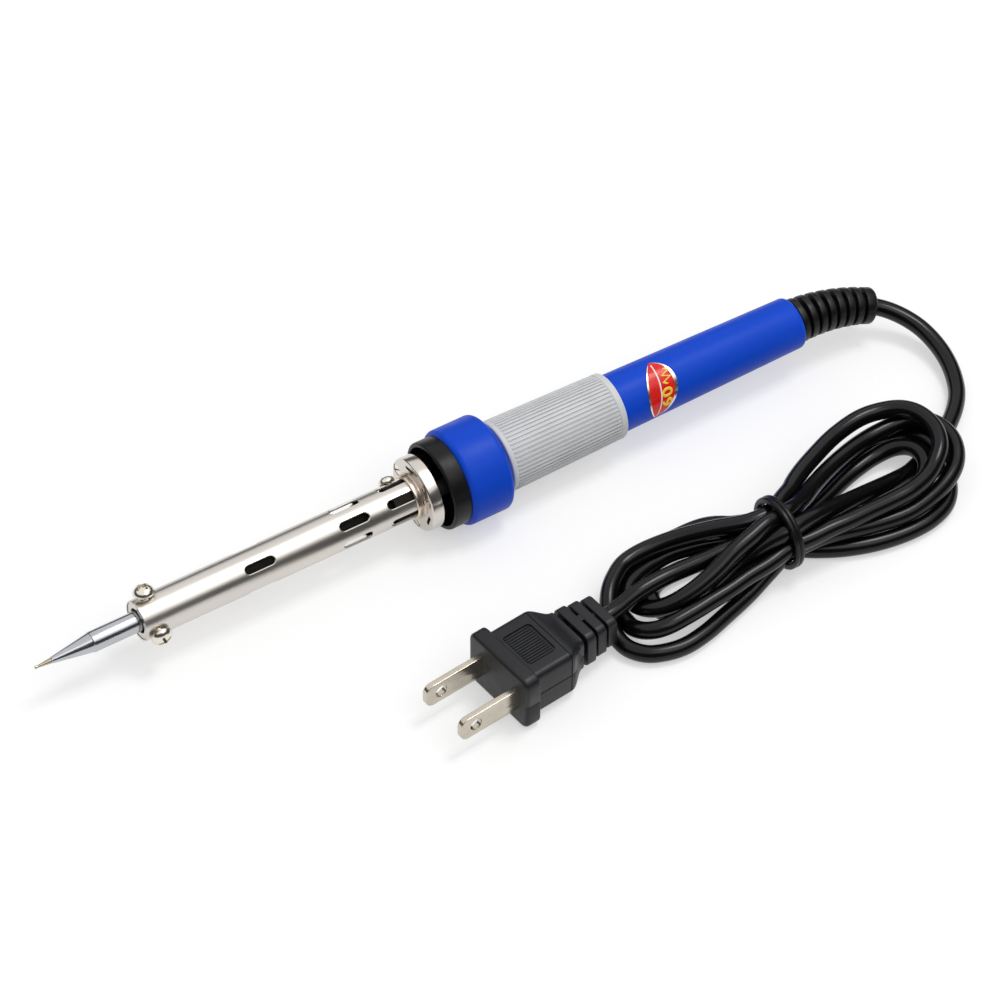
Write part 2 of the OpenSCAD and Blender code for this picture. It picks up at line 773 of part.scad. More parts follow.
tip();
nose_bushing();
barrel_tube();
rear_bushing();
tip_screw_upper();
tip_screw_lower();
barrel_screw();
heater_former();
heater_winding();
heater_wrap();
heater_end_bead();
heater_leads();
lead_sleeves();
mounting_flange();
flange_spacers();
flange_screws();
insulator_ring();
handle_shell();
grip_sleeve();
rating_label();
splice_crimps();
splice_sleeves();
cord_cores();
cord_jacket();
cord_ferrule();
cord_boot();
mains_lead();
cord_hank();
cord_tie();
plug_lead();
plug_body();
plug_blades();
plug_bridge();
plug_crimps();
plug_cores();
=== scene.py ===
"""Electric soldering iron with its lead tied in a hank: the visible pieces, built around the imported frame."""
import math

import bmesh
import bpy
import numpy as np
from bpy.props import FloatProperty, FloatVectorProperty, IntProperty, PointerProperty
from mathutils import Matrix, Vector


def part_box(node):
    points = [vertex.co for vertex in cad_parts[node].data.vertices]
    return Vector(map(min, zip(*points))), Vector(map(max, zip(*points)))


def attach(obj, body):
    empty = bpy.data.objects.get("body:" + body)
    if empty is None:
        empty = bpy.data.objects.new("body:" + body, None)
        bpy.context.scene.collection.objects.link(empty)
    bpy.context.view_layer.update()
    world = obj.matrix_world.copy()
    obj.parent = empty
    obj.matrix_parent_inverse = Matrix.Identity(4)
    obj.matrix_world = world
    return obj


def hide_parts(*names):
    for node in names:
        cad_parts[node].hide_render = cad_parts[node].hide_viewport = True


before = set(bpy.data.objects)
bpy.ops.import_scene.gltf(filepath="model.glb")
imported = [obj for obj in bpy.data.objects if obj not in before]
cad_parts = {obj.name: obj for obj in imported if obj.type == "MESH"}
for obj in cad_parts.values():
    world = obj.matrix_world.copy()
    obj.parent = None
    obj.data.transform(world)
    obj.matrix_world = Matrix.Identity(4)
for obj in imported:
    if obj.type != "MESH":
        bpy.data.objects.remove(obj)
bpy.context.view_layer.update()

bl_info = {
    "name": "Soldering iron builder",
    "version": (1, 0, 0),
    "blender": (4, 5, 0),
    "location": "3D View > Sidebar > Iron",
    "description": "Builds the visible pieces of a soldering iron, its tied lead and its plug",
    "category": "Add Mesh",
}

MM = 0.001
IRON = "iron"


def ends(node):
    """Lowest and highest corner of a CAD node, in millimetres."""
    low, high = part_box(node)
    return np.array(low) / MM, np.array(high) / MM


# Stations along the iron, from the frame, in millimetres
X_TIP, X_TIP_BACK = ends("tip")[0][0], ends("tip")[1][0]
X_NOSE, X_SPACER = ends("barrel_tube")[0][0], ends("barrel_tube")[1][0]
X_HUB = ends("mounting_flange")[0][0]
X_RING = ends("insulator_ring")[0][0]
X_COLLAR, X_END = ends("handle_shell")[0][0], ends("handle_shell")[1][0]
X_GRIP, X_GRIP_END = ends("grip_sleeve")[0][0], ends("grip_sleeve")[1][0]
AXIS_Z = (ends("handle_shell")[0][2] + ends("handle_shell")[1][2]) / 2
ON_AXIS = Matrix.Translation((0, 0, AXIS_Z))
TIP_SCREWS_AT = X_NOSE + 3.2
BARREL_SCREW_AT = X_SPACER - 7.6

# Angles about the iron's axis, from straight up towards -Y, in degrees
VIEW_SIDE = 39
UPPER_SCREW = VIEW_SIDE - 58
LOWER_SCREW = VIEW_SIDE + 65
BARREL_SCREW = VIEW_SIDE - 90
FLANGE_SCREWS = VIEW_SIDE + 10
LABEL_SIDE = VIEW_SIDE + 8

# The plug's own frame has X along the plug, from its front face
IN_PLUG = Matrix.Translation((-15.5, -56, 7.75)) @ Matrix.Rotation(math.radians(6), 4, "Z")


# ---- shapes, in millimetres ----

def rounded(corners, loop=True, steps=5):
    """A profile through (x, r, radius) corners, each rounded by its radius."""
    out, count = [], len(corners)
    for i, (x, r, radius) in enumerate(corners):
        corner = np.array((x, r), float)
        if radius == 0 or (not loop and i in (0, count - 1)):
            out.append(tuple(corner))
            continue
        back = np.array(corners[i - 1][:2], float) - corner
        ahead = np.array(corners[(i + 1) % count][:2], float) - corner
        room = 0.499 * min(np.linalg.norm(back), np.linalg.norm(ahead))
        back /= np.linalg.norm(back)
        ahead /= np.linalg.norm(ahead)
        half = math.acos(float(np.clip(back @ ahead, -1, 1))) / 2
        reach = min(radius / math.tan(half), room)
        centre = corner + (back + ahead) / np.linalg.norm(back + ahead) * reach / math.cos(half)
        u, v = corner + back * reach - centre, corner + ahead * reach - centre
        turn = math.pi - 2 * half
        for k in range(steps + 1):
            w = k / steps
            out.append(tuple(centre + (math.sin((1 - w) * turn) * u + math.sin(w * turn) * v) / math.sin(turn)))
    return out


def lathe(profile, sides=96, loop=True):
    """Turns (x, r) points about X. A point on the axis closes to a pole."""
    verts, faces, rows = [], [], []
    for x, r in profile:
        if r < 1e-4:
            rows.append([len(verts)])
            verts.append((x, 0, 0))
            continue
        rows.append(list(range(len(verts), len(verts) + sides)))
        for k in range(sides):
            a = 2 * math.pi * k / sides
            verts.append((x, -r * math.sin(a), r * math.cos(a)))
    for a, b in zip(rows, rows[1:] + (rows[:1] if loop else [])):
        for k in range(sides):
            q = (k + 1) % sides
            if len(a) == 1 and len(b) > 1:
                faces.append((a[0], b[k], b[q]))
            elif len(b) == 1 and len(a) > 1:
                faces.append((a[k], b[0], a[q]))
            elif len(a) > 1:
                faces.append((a[k], b[k], b[q], a[q]))
    return verts, faces


def loft(sections):
    """Skins rings of points, one after another, and closes both ends."""
    n = len(sections[0])
    verts = [tuple(p) for s in sections for p in s]
    faces = [(i * n + k, (i + 1) * n + k, (i + 1) * n + (k + 1) % n, i * n + (k + 1) % n)
             for i in range(len(sections) - 1) for k in range(n)]
    faces += [tuple(range(n)), tuple(range((len(sections) - 1) * n, len(sections) * n))]
    return verts, faces


def outline(width, height, radius, notch=0.0, steps=6):
    """A rounded rectangle, with a shallow seam half way up each side if notch is given."""
    pts = []
    w, h = width / 2 - radius, height / 2 - radius
    for quarter, (sy, sz) in enumerate(((1, 1), (-1, 1), (-1, -1), (1, -1))):
        for k in range(steps + 1):
            a = math.pi / 2 * (quarter + k / steps)
            pts.append((sy * w + radius * math.cos(a), sz * h + radius * math.sin(a)))
        if notch and quarter in (1, 3):
            side = -1 if quarter == 1 else 1
            rows = ((0.22, 0), (0, notch), (-0.22, 0)) if quarter == 1 else ((-0.22, 0), (0, notch), (0.22, 0))
            pts += [(side * (width / 2 - deep), z) for z, deep in rows]
    return pts


def block(x0, x1, width, height, radius, front=0.4, back=0.4, notch=0.0, steps=4):
    """Sections of a rounded bar along X whose two end edges are rounded too."""
    out = []
    for edge, x, way in ((front, x0, 1), (back, x1, -1)):
        rows = []
        for k in range(steps + 1):
            a = math.pi / 2 * k / steps
            inset = edge * (1 - math.sin(a))
            ring = outline(width - 2 * inset, height - 2 * inset, max(radius - inset, 0.1), notch)
            rows.append([(x + way * edge * (1 - math.cos(a)), y, z) for y, z in ring])
        out += rows if way == 1 else rows[::-1]
    return out


def stood(name, data):
    """An object at the origin that holds the data."""
    obj = bpy.data.objects.new(name, data)
    bpy.context.scene.collection.objects.link(obj)
    return obj


def add(name, shape, material, place=ON_AXIS, sharp=32):
    """Makes an object at the origin from (points, faces) in millimetres."""
    verts, faces = shape
    mesh = bpy.data.meshes.new(name)
    mesh.from_pydata([(place @ Vector(v)) * MM for v in verts], [], faces)
    tidy(mesh, sharp)
    mesh.materials.append(material)
    return stood(name, mesh)


def tidy(mesh, sharp=32):
    """Merges doubles, turns the faces outwards and smooths all but the sharp edges."""
    bm = bmesh.new()
    bm.from_mesh(mesh)
    bmesh.ops.remove_doubles(bm, verts=bm.verts, dist=2e-7)
    bmesh.ops.recalc_face_normals(bm, faces=bm.faces)
    bm.to_mesh(mesh)
    bm.free()
    mesh.polygons.foreach_set("use_smooth", [True] * len(mesh.polygons))
    mesh.set_sharp_from_angle(angle=math.radians(sharp))


def applied(obj, sharp=32):
    """Turns an object with modifiers into its plain mesh."""
    graph = bpy.context.evaluated_depsgraph_get()
    graph.update()
    mesh = bpy.data.meshes.new_from_object(obj.evaluated_get(graph))
    obj.modifiers.clear()
    obj.data = mesh
    mesh.name = obj.name
    tidy(mesh, sharp)
    return obj


def discard(*objs):
    for obj in objs:
        bpy.data.objects.remove(obj, do_unlink=True)


def cut(obj, *tools, sharp=32):
    """Cuts the tools out of an object, and removes them."""
    for tool in tools:
        modifier = obj.modifiers.new("cut", "BOOLEAN")
        modifier.operation = "DIFFERENCE"
        modifier.solver = "EXACT"
        modifier.object = tool
        modifier.material_mode = "TRANSFER"
    applied(obj, sharp)
    discard(*tools)
    return obj


def joined(name, *objs):
    """One object from several of one material."""
    bm = bmesh.new()
    for obj in objs:
        bm.from_mesh(obj.data)
    mesh = bpy.data.meshes.new(name)
    bm.to_mesh(mesh)
    bm.free()
    for material in objs[0].data.materials:
        mesh.materials.append(material)
    mesh.set_sharp_from_angle(angle=math.radians(32))
    discard(*objs)
    return stood(name, mesh)


def repaint(obj, paint, chosen):
    """Gives a second finish to the faces whose centre, in metres, is chosen."""
    obj.data.materials.append(shade(paint))
    for face in obj.data.polygons:
        if chosen(face.center):
            face.material_index = 1


def from_axis(point):
    """Distance of a point from the iron's axis, in metres."""
    return math.hypot(point.y, point.z - AXIS_Z * MM)


def placed(obj, body, slot, *nodes):
    """Rides a finished piece on its body and hides the CAD nodes that it stands for. Its slot is not used."""
    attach(obj, body)
    if nodes:
        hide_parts(*nodes)
    return obj


# ---- nodes ----

def feed(tree, node, key, value):
    """Feeds one input of a node from a socket or a plain value."""
    if isinstance(value, bpy.types.NodeSocket):
        tree.links.new(value, node.inputs[key])
    else:
        node.inputs[key].default_value = value


def made(tree, kind, inputs=None, **settings):
    """The outputs of a new node with these inputs and settings."""
    node = tree.nodes.new(kind)
    for key, value in settings.items():
        setattr(node, key, value)
    for key, value in (inputs or {}).items():
        feed(tree, node, key, value)
    return node.outputs


def maths(tree, operation, a, b):
    return made(tree, "ShaderNodeMath", {0: a, 1: b}, operation=operation)[0]


def new_tree(name, sockets):
    """A tree with named inputs between a geometry and a material, and their sockets."""
    tree = bpy.data.node_groups.new(name, "GeometryNodeTree")
    for label, kind, value in [("Geometry", "Geometry", None), *sockets, ("Material", "Material", None)]:
        socket = tree.interface.new_socket(label, in_out="INPUT", socket_type=f"NodeSocket{kind}")
        if value is not None:
            socket.default_value = value
    tree.interface.new_socket("Geometry", in_out="OUTPUT", socket_type="NodeSocketGeometry")
    return tree, made(tree, "NodeGroupInput")


def finish_tree(tree, given, copies):
    """Makes the copies real, paints them and hands them out."""
    real = made(tree, "GeometryNodeRealizeInstances", {"Geometry": copies})
    paint = made(tree, "GeometryNodeSetMaterial", {"Geometry": real[0], "Material": given["Material"]})
    made(tree, "NodeGroupOutput", {"Geometry": paint[0]})


def around_tree():
    """Copies a shape evenly about the iron's axis."""
    tree, given = new_tree("around_the_axis", [
        ("Count", "Int", 1), ("Start Angle", "Float", 0.0), ("Station", "Float", 0.0), ("Radius", "Float", 0.0),
        ("Axis Height", "Float", AXIS_Z * MM)])
    shift = made(tree, "ShaderNodeCombineXYZ", {"X": given["Station"], "Z": given["Radius"]})
    moved = made(tree, "GeometryNodeTransform", {"Geometry": given["Geometry"], "Translation": shift[0]})
    centre = made(tree, "ShaderNodeCombineXYZ", {"Z": given["Axis Height"]})
    points = made(tree, "GeometryNodePoints", {"Count": given["Count"], "Position": centre[0]})
    step = maths(tree, "DIVIDE", 2 * math.pi, given["Count"])
    angle = maths(tree, "MULTIPLY", made(tree, "GeometryNodeInputIndex")[0], step)
    turn = made(tree, "ShaderNodeCombineXYZ", {"X": maths(tree, "ADD", angle, given["Start Angle"])})
    rotation = made(tree, "FunctionNodeEulerToRotation", {0: turn[0]})
    copies = made(tree, "GeometryNodeInstanceOnPoints", {
        "Points": points[0], "Instance": moved[0], "Rotation": rotation[0]})
    finish_tree(tree, given, copies[0])


def along_tree():
    """Copies a shape along a path, each copy a little smaller than the last."""
    tree, given = new_tree("along_the_path", [
        ("Count", "Int", 3), ("End Size", "Float", 1.0), ("Path", "Object", None)])
    path = made(tree, "GeometryNodeObjectInfo", {"Object": given["Path"]}, transform_space="RELATIVE")
    points = made(tree, "GeometryNodeCurveToPoints", {"Curve": path["Geometry"], "Count": given["Count"]},
                  mode="COUNT")
    aim = made(tree, "FunctionNodeAlignRotationToVector", {"Vector": points["Tangent"]}, axis="X")
    last = maths(tree, "SUBTRACT", given["Count"], 1.0)
    share = maths(tree, "DIVIDE", made(tree, "GeometryNodeInputIndex")[0], last)
    less = maths(tree, "SUBTRACT", given["End Size"], 1.0)
    size = maths(tree, "ADD", maths(tree, "MULTIPLY", share, less), 1.0)
    scale = made(tree, "ShaderNodeCombineXYZ", {"X": 1.0, "Y": size, "Z": size})
    copies = made(tree, "GeometryNodeInstanceOnPoints", {
        "Points": points["Points"], "Instance": given["Geometry"], "Rotation": aim[0], "Scale": scale[0]})
    finish_tree(tree, given, copies[0])


def grown(obj, tree, sharp=32, **values):
    """Runs the named tree on an object with the named inputs, and keeps the plain mesh."""
    modifier = obj.modifiers.new(tree, "NODES")
    modifier.node_group = bpy.data.node_groups[tree]
    values["Material"] = obj.data.materials[0]
    for item in modifier.node_group.interface.items_tree:
        key = item.name.replace(" ", "_")
        if item.in_out == "INPUT" and key in values:
            modifier[item.identifier] = values[key]
    return applied(obj, sharp)


def about(obj, count=1, start=0.0, station=0.0, radius=0.0, sharp=32):
    """Sets copies of a shape about the axis: angle in degrees, lengths in millimetres."""
    return grown(obj, "around_the_axis", sharp, Count=count, Start_Angle=math.radians(start),
                 Station=station * MM, Radius=radius * MM)


def line_in(curve, points, **settings):
    """Adds a line through points in millimetres to a curve."""
    line = curve.splines.new("POLY")
    line.points.add(len(points) - 1)
    places = np.array([tuple(p) for p in points], float) * MM
    line.points.foreach_set("co", np.column_stack([places, np.ones(len(places))]).ravel())
    for key, value in settings.items():
        setattr(line, key, value)


def along(obj, points, count, end_size=1.0):
    """Sets copies of a shape along a line through points in millimetres."""
    curve = bpy.data.curves.new("path", "CURVE")
    curve.dimensions = "3D"
    line_in(curve, points)
    path = stood("path", curve)
    grown(obj, "along_the_path", Count=count, End_Size=end_size, Path=path)
    discard(path)
    return obj


# ---- finishes ----

def finish(name, colour, rough, metal=0.0, tone=0.06, patches=160, uneven=0.04, grain=2600, relief=0.006,
           stretch=(1, 1, 1), coat=0.0, specular=0.5):
    """A procedural finish: colour and gloss that vary in patches, and a fine grain in the relief.

    relief is the depth of the grain in millimetres, and patches and grain are per metre.
    """
    mat = bpy.data.materials.new(name)
    mat.use_nodes = True
    tree = mat.node_tree
    coords = made(tree, "ShaderNodeTexCoord")["Object"]
    mapping = made(tree, "ShaderNodeMapping", {"Vector": coords, "Scale": stretch})[0]

    def noise(scale, detail):
        return made(tree, "ShaderNodeTexNoise", {"Scale": scale, "Detail": detail, "Vector": mapping})["Fac"]

    ramp = tree.nodes.new("ShaderNodeValToRGB")
    for element, place, factor in zip(ramp.color_ramp.elements, (0.3, 0.7), (1 - tone, 1 + tone)):
        element.position = place
        element.color = (*[min(c * factor, 1) for c in colour], 1)
    feed(tree, ramp, 0, noise(patches, 4))
    gloss = made(tree, "ShaderNodeMapRange", {
        "Value": noise(patches * 2.3, 3), "From Min": 0.3, "From Max": 0.7,
        "To Min": max(rough - uneven, 0.02), "To Max": rough + uneven})
    bump = made(tree, "ShaderNodeBump", {"Strength": 0.6, "Distance": relief * MM, "Height": noise(grain, 2)})
    for key, value in (("Base Color", ramp.outputs[0]), ("Metallic", metal), ("Roughness", gloss[0]),
                       ("IOR", 1.45), ("Normal", bump[0]), ("Specular IOR Level", specular),
                       ("Coat Weight", coat), ("Coat Roughness", 0.12)):
        feed(tree, tree.nodes["Principled BSDF"], key, value)
    return mat


FINISHES = {
    "plated_tip": dict(colour=(0.48, 0.49, 0.52), rough=0.18, metal=1.0, stretch=(1, 3, 3)),
    "tinned_end": dict(colour=(0.44, 0.39, 0.29), rough=0.20, metal=1.0, patches=900, tone=0.1, relief=0.02),
    "nickel_steel": dict(colour=(0.66, 0.625, 0.58), rough=0.30, metal=1.0, tone=0.04, stretch=(0.15, 1, 1),
                         relief=0.003, uneven=0.03),
    "flange_nickel": dict(colour=(0.66, 0.62, 0.57), rough=0.22, metal=1.0, tone=0.02, uneven=0.02, relief=0.001),
    # Warm tint for the flange's hub, a painted copper-coloured reflection
    "warm_nickel": dict(colour=(0.70, 0.61, 0.52), rough=0.26, metal=1.0, tone=0.03, uneven=0.02, relief=0.001),
    "screw_steel": dict(colour=(0.80, 0.75, 0.67), rough=0.20, metal=1.0, tone=0.03, uneven=0.02, relief=0.002),
    # Near-black painted shade for the barrel's inside and the rear bushing, so that the slots look dark
    "burnt_steel": dict(colour=(0.022, 0.019, 0.016), rough=0.8, tone=0.2, specular=0.05),
    "dark_sleeving": dict(colour=(0.02, 0.018, 0.016), rough=0.8, tone=0.15, specular=0.1),
    "heater_steel": dict(colour=(0.36, 0.33, 0.30), rough=0.45, metal=1.0, tone=0.2),
    "heater_alloy": dict(colour=(0.28, 0.25, 0.23), rough=0.42, metal=1.0, tone=0.2),
    # Near-black painted shade for the heater wrap and end bead that show through the slots
    "mica": dict(colour=(0.010, 0.009, 0.008), rough=0.8, tone=0.3, patches=500, specular=0.1),
    # Near-black painted shade for the flange spacers in the gap behind the flange
    "dark_fibre": dict(colour=(0.006, 0.006, 0.006), rough=0.8, tone=0.15, specular=0.1),
    # Near-black painted shade for the hollow inside the insulator ring
    "deep_black": dict(colour=(0.002, 0.002, 0.002), rough=0.9, tone=0.1, specular=0.05),
    "black_phenolic": dict(colour=(0.006, 0.006, 0.007), rough=0.36, relief=0.012, tone=0.2, specular=0.25),
    "blue_plastic": dict(colour=(0.001, 0.062, 0.60), rough=0.42, relief=0.010, grain=3600, tone=0.03,
                         patches=60, uneven=0.05, specular=0.20),
    "grip_rubber": dict(colour=(0.66, 0.67, 0.68), rough=0.55, relief=0.016, grain=3200, tone=0.04),
    "label_film": dict(colour=(0.74, 0.010, 0.008), rough=0.26, coat=0.15, tone=0.10, patches=400, specular=0.35),
    "label_foil": dict(colour=(0.80, 0.74, 0.62), rough=0.24, metal=1.0, tone=0.14, patches=500),
    "label_white": dict(colour=(0.86, 0.83, 0.76), rough=0.3),
    "label_yellow": dict(colour=(0.93, 0.62, 0.05), rough=0.3),
    "black_sleeve": dict(colour=(0.005, 0.005, 0.006), rough=0.32, specular=0.3),
    "tinned_copper": dict(colour=(0.72, 0.70, 0.67), rough=0.30, metal=1.0),
    "cord_pvc": dict(colour=(0.0025, 0.0025, 0.003), rough=0.21, relief=0.010, grain=420, tone=0.25,
                     patches=90, uneven=0.03, specular=0.36),
    "boot_pvc": dict(colour=(0.006, 0.006, 0.007), rough=0.34, relief=0.012, tone=0.2, grain=3000, specular=0.34),
    "plug_pvc": dict(colour=(0.009, 0.0095, 0.012), rough=0.40, relief=0.022, grain=2600, tone=0.2, specular=0.40),
    "plated_brass": dict(colour=(0.56, 0.51, 0.43), rough=0.24, metal=1.0, tone=0.07, patches=300),
    "white_plastic": dict(colour=(0.75, 0.74, 0.70), rough=0.45),
}


def shade(name):
    """The named finish, made the first time that it is asked for."""
    own = f"{name}_finish"
    return bpy.data.materials.get(own) or finish(own, **FINISHES[name])


# ---- settings ----

def length(name, text, value):
    return FloatProperty(name=name, description=text, default=value * MM, min=0.0, precision=5, unit="LENGTH")


def tint(name, text, value):
    return FloatVectorProperty(name=name, description=text, default=value, min=0.0, max=1.0, size=3,
                               subtype="COLOR")


class TipSizes(bpy.types.PropertyGroup):
    rod: length("Shank", "Diameter of the tip's shank", 5)
    cone: length("Cone", "Length from the point to the shank", 14.3)
    tinned: length("Tinned end", "Length of the tinned working end", 4.2)


class BarrelSizes(bpy.types.PropertyGroup):
    outside: length("Diameter", "Outside diameter of the barrel", 10)
    wall: length("Wall", "Wall of the barrel", 0.5)
    slot: length("Slot length", "End to end length of a vent slot", 7.8)
    slot_width: length("Slot width", "Width of a vent slot", 2.2)
    lip: length("Slot lip", "Broken edge round each slot", 0.16)


class ScrewSizes(bpy.types.PropertyGroup):
    shank: length("Shank", "Diameter of the barrel screws", 2.5)
    head: length("Head", "Diameter of the tip screws' heads", 5.3)
    barrel_head: length("Barrel screw head", "Diameter of the barrel screw's head", 4.1)
    standoff: length("Standoff", "Gap under the heads of the tip screws", 0.5)


class HandleSizes(bpy.types.PropertyGroup):
    collar: length("Collar", "Diameter of the collar", 24)
    collar_length: length("Collar length", "Length of the collar", 11.4)
    body: length("Body", "Diameter just behind the grip", 14.7)
    end: length("End", "Diameter at the back end", 12.9)
    edge: length("Edge", "Radius of the outer edges", 1.3)


class GripSizes(bpy.types.PropertyGroup):
    front: length("Front", "Diameter at the front", 17.9)
    back: length("Back", "Diameter at the back", 16.6)
    rib_height: length("Rib height", "How far the ribs stand up", 0.42)
    ribs: IntProperty(name="Ribs", description="Number of ribs round the grip", default=52, min=8, max=90)


class BootSizes(bpy.types.PropertyGroup):
    reach: length("Length", "Length along the curve", 21.6)
    root: length("Root", "Diameter of the first rib", 11)
    end: length("End", "Diameter of the last rib", 9)
    bend: FloatProperty(name="Bend", description="Angle through which the boot bends",
                        default=math.radians(23), subtype="ANGLE")
    ribs: IntProperty(name="Ribs", description="Number of ribs", default=8, min=4, max=12)


class LeadSizes(bpy.types.PropertyGroup):
    diameter: length("Diameter", "Outside diameter of the mains lead", 4.2)
    step: length("Step", "Distance between points along the lead", 1.5)
    least_bend: length("Least bend", "Smallest radius of a bend in the lead", 6.5)
    rounds: IntProperty(name="Rounds", description="Rounds of settling the strands", default=300, min=0, max=900)


class StageSettings(bpy.types.PropertyGroup):
    floor: tint("Floor", "Colour of the floor", (0.60, 0.60, 0.60))
    lift: FloatProperty(name="Floor lift", description="White that the floor adds of its own", default=0.46, min=0.0)
    key: FloatProperty(name="Key", description="Power of the main lamp", default=4.6, min=0.0)
    fill: FloatProperty(name="Fill", description="Power of the second lamp", default=4.0, min=0.0)
    room: FloatProperty(name="Room", description="Strength of the room's own light", default=0.58, min=0.0)


SETTINGS = {"iron_tip": TipSizes, "iron_barrel": BarrelSizes, "iron_screws": ScrewSizes,
            "iron_handle": HandleSizes, "iron_grip": GripSizes, "iron_boot": BootSizes,
            "iron_lead": LeadSizes, "iron_stage": StageSettings}


# ---- camera, floor and light ----

def shown(tree):
    """1 for camera, glossy and transmission rays, 0 for the rest."""
    ray = made(tree, "ShaderNodeLightPath")
    seen = maths(tree, "MAXIMUM", ray["Is Camera Ray"], ray["Is Glossy Ray"])
    return maths(tree, "MAXIMUM", seen, ray["Is Transmission Ray"])


class IRON_OT_stage(bpy.types.Operator):
    """Camera, floor, lamps and room"""
    bl_idname = "iron.stage"
    bl_label = "Stage"

    # The camera's place in metres, its turn and tilt in degrees, and its lens
    spot, yaw, down, lens = (-0.429245, -0.711273, 0.890170), -32.305, 46.711, 187.2
    # Half the floor's width, in millimetres
    floor_half = 4000
    # Name, place and size of each lamp in metres with its setting, and the point that both face
    lamps = (("key_lamp", (0.45, -0.05, 1.20), 0.38, "key"), ("fill_lamp", (0.35, -0.75, 1.25), 1.1, "fill"))
    aim = (0.02, -0.02, 0)
    # The dark cloth's radius, its least height, how much it gains in front, and where that is in degrees
    cloth_radius, cloth_low, cloth_more, cloth_side = 1500, 620, 1150, -95

    def execute(self, context):
        scene, s = context.scene, context.scene.iron_stage
        scene.view_settings.view_transform = "Standard"
        yaw, down = math.radians(self.yaw), math.radians(self.down)
        ahead = Vector((-math.sin(yaw), math.cos(yaw), 0))
        right = Vector((math.cos(yaw), math.sin(yaw), 0))
        look = ahead * math.cos(down) - Vector((0, 0, math.sin(down)))
        data = bpy.data.cameras.new("camera")
        data.lens, data.sensor_width, data.clip_end = self.lens, 36, 50
        scene.camera = stood("camera", data)
        turn = Matrix((right, right.cross(look), -look)).transposed()
        scene.camera.matrix_world = Matrix.Translation(self.spot) @ turn.to_4x4()
        corners = ((-1, -1), (1, -1), (1, 1), (-1, 1))
        add("floor", ([(x * self.floor_half, y * self.floor_half, -0.05) for x, y in corners],
                               [(0, 1, 2, 3)]), self.floor_paint(s), Matrix())
        for name, spot, size, power in self.lamps:
            lamp = bpy.data.lights.new(name, "AREA")
            lamp.shape, lamp.size, lamp.energy = "SQUARE", size, getattr(s, power)
            way = Vector(self.aim) - Vector(spot)
            turn = way.to_track_quat("-Z", "Y").to_matrix().to_4x4()
            stood(name, lamp).matrix_world = Matrix.Translation(spot) @ turn
        self.room(scene, s)
        return {"FINISHED"}

    def floor_paint(self, s):
        mat = bpy.data.materials.new("floor_paint")
        mat.use_nodes = True
        tree = mat.node_tree
        lift = maths(tree, "MULTIPLY", shown(tree), s.lift)
        for key, value in (("Base Color", (*s.floor, 1)), ("Roughness", 0.9), ("Specular IOR Level", 0.0),
                           ("Emission Color", (1, 1, 1, 1)), ("Emission Strength", lift)):
            feed(tree, tree.nodes["Principled BSDF"], key, value)
        return mat

    def room(self, scene, s):
        """White for what is seen, dimmer as light, with a dark cloth round the set."""
        scene.world = bpy.data.worlds.new("room")
        scene.world.use_nodes = True
        tree = scene.world.node_tree
        back = tree.nodes["Background"]
        level = made(tree, "ShaderNodeMapRange", {"Value": shown(tree), "To Min": s.room, "To Max": 1.0})
        feed(tree, back, "Color", (1, 1, 1, 1))
        feed(tree, back, "Strength", level[0])
        # The cloth is highest in front. It is seen only in reflections, and gives the metal its bands
        verts, n, r = [], 64, self.cloth_radius
        for k in range(n):
            a = 2 * math.pi * k / n
            share = 0.5 + 0.5 * math.cos(a - math.radians(self.cloth_side))
            high = self.cloth_low + self.cloth_more * share ** 1.2
            verts += [(r * math.cos(a), r * math.sin(a), z) for z in (0, high)]
        faces = [(2 * k, 2 * k + 1, (2 * k + 3) % (2 * n), (2 * k + 2) % (2 * n)) for k in range(n)]
        wall = add("dark_cloth", (verts, faces), finish("dark_cloth", (0.09, 0.09, 0.09), 0.9), Matrix())
        for kind in ("visible_camera", "visible_diffuse", "visible_shadow", "visible_transmission"):
            setattr(wall, kind, False)


# ---- the lead ----

# The lead's start inside the strain relief, in millimetres
IN_BOOT = (121.6, -2, 9.8)
# From the strain relief to the hank, as in the CAD source, in metres
LEAD = [(0.1239, -0.0027, 0.009), (0.1256, -0.0036, 0.0084), (0.1272, -0.0048, 0.0079),
        (0.1291, -0.0068, 0.0072), (0.131, -0.0096, 0.0063), (0.1324, -0.0129, 0.0054),
        (0.1331, -0.0168, 0.0045), (0.1331, -0.021, 0.0037), (0.1323, -0.0253, 0.0031),
        (0.1309, -0.0293, 0.0026), (0.1289, -0.033, 0.0023), (0.1258, -0.0366, 0.0022),
        (0.1221, -0.0397, 0.0022), (0.1182, -0.0423, 0.0022), (0.114, -0.0444, 0.0022)]
# Through the tie, then round the two lobes in turn, in millimetres
INTO_TIE = [(110, -46, 2.2), (104, -48.3, 2.4), (98.9, -49.5, 3.5), (92, -51, 5.5), (86, -52.5, 7.5),
            (78, -54.5, 10), (70, -56.3, 12), (63.4, -56.9, 12.6)]
LEFT_1 = [(57, -56, 10), (51, -55.3, 6.6), (45, -55.7, 4.2), (38.5, -57, 2.5), (32.6, -57, 2.1),
          (28.2, -55, 2.1), (26.4, -51, 2.1), (28, -46.9, 2.1), (32.4, -44.6, 2.1), (39, -43.7, 2.1),
          (46, -44.2, 2.1), (52, -46.2, 2.3), (57.5, -49.6, 3), (63.4, -53, 3.6)]
RIGHT_1 = [(70, -56.5, 3), (78, -60.3, 2.3), (86, -62.8, 2.1), (94, -63.8, 2.1), (100, -63.3, 2.1),
           (105, -61.3, 2.1), (108.6, -57.5, 2.8), (110.2, -52.5, 4.5), (111, -47, 6.2), (110.8, -42.5, 6),
           (109, -39, 4), (105.4, -36.8, 2.4), (101, -36.1, 2.1), (95, -36.7, 2.1), (88.5, -38.3, 2.2),
           (82, -40.8, 3), (76, -43.8, 4.8), (70, -46.4, 7.2), (63.4, -47.2, 9.1)]
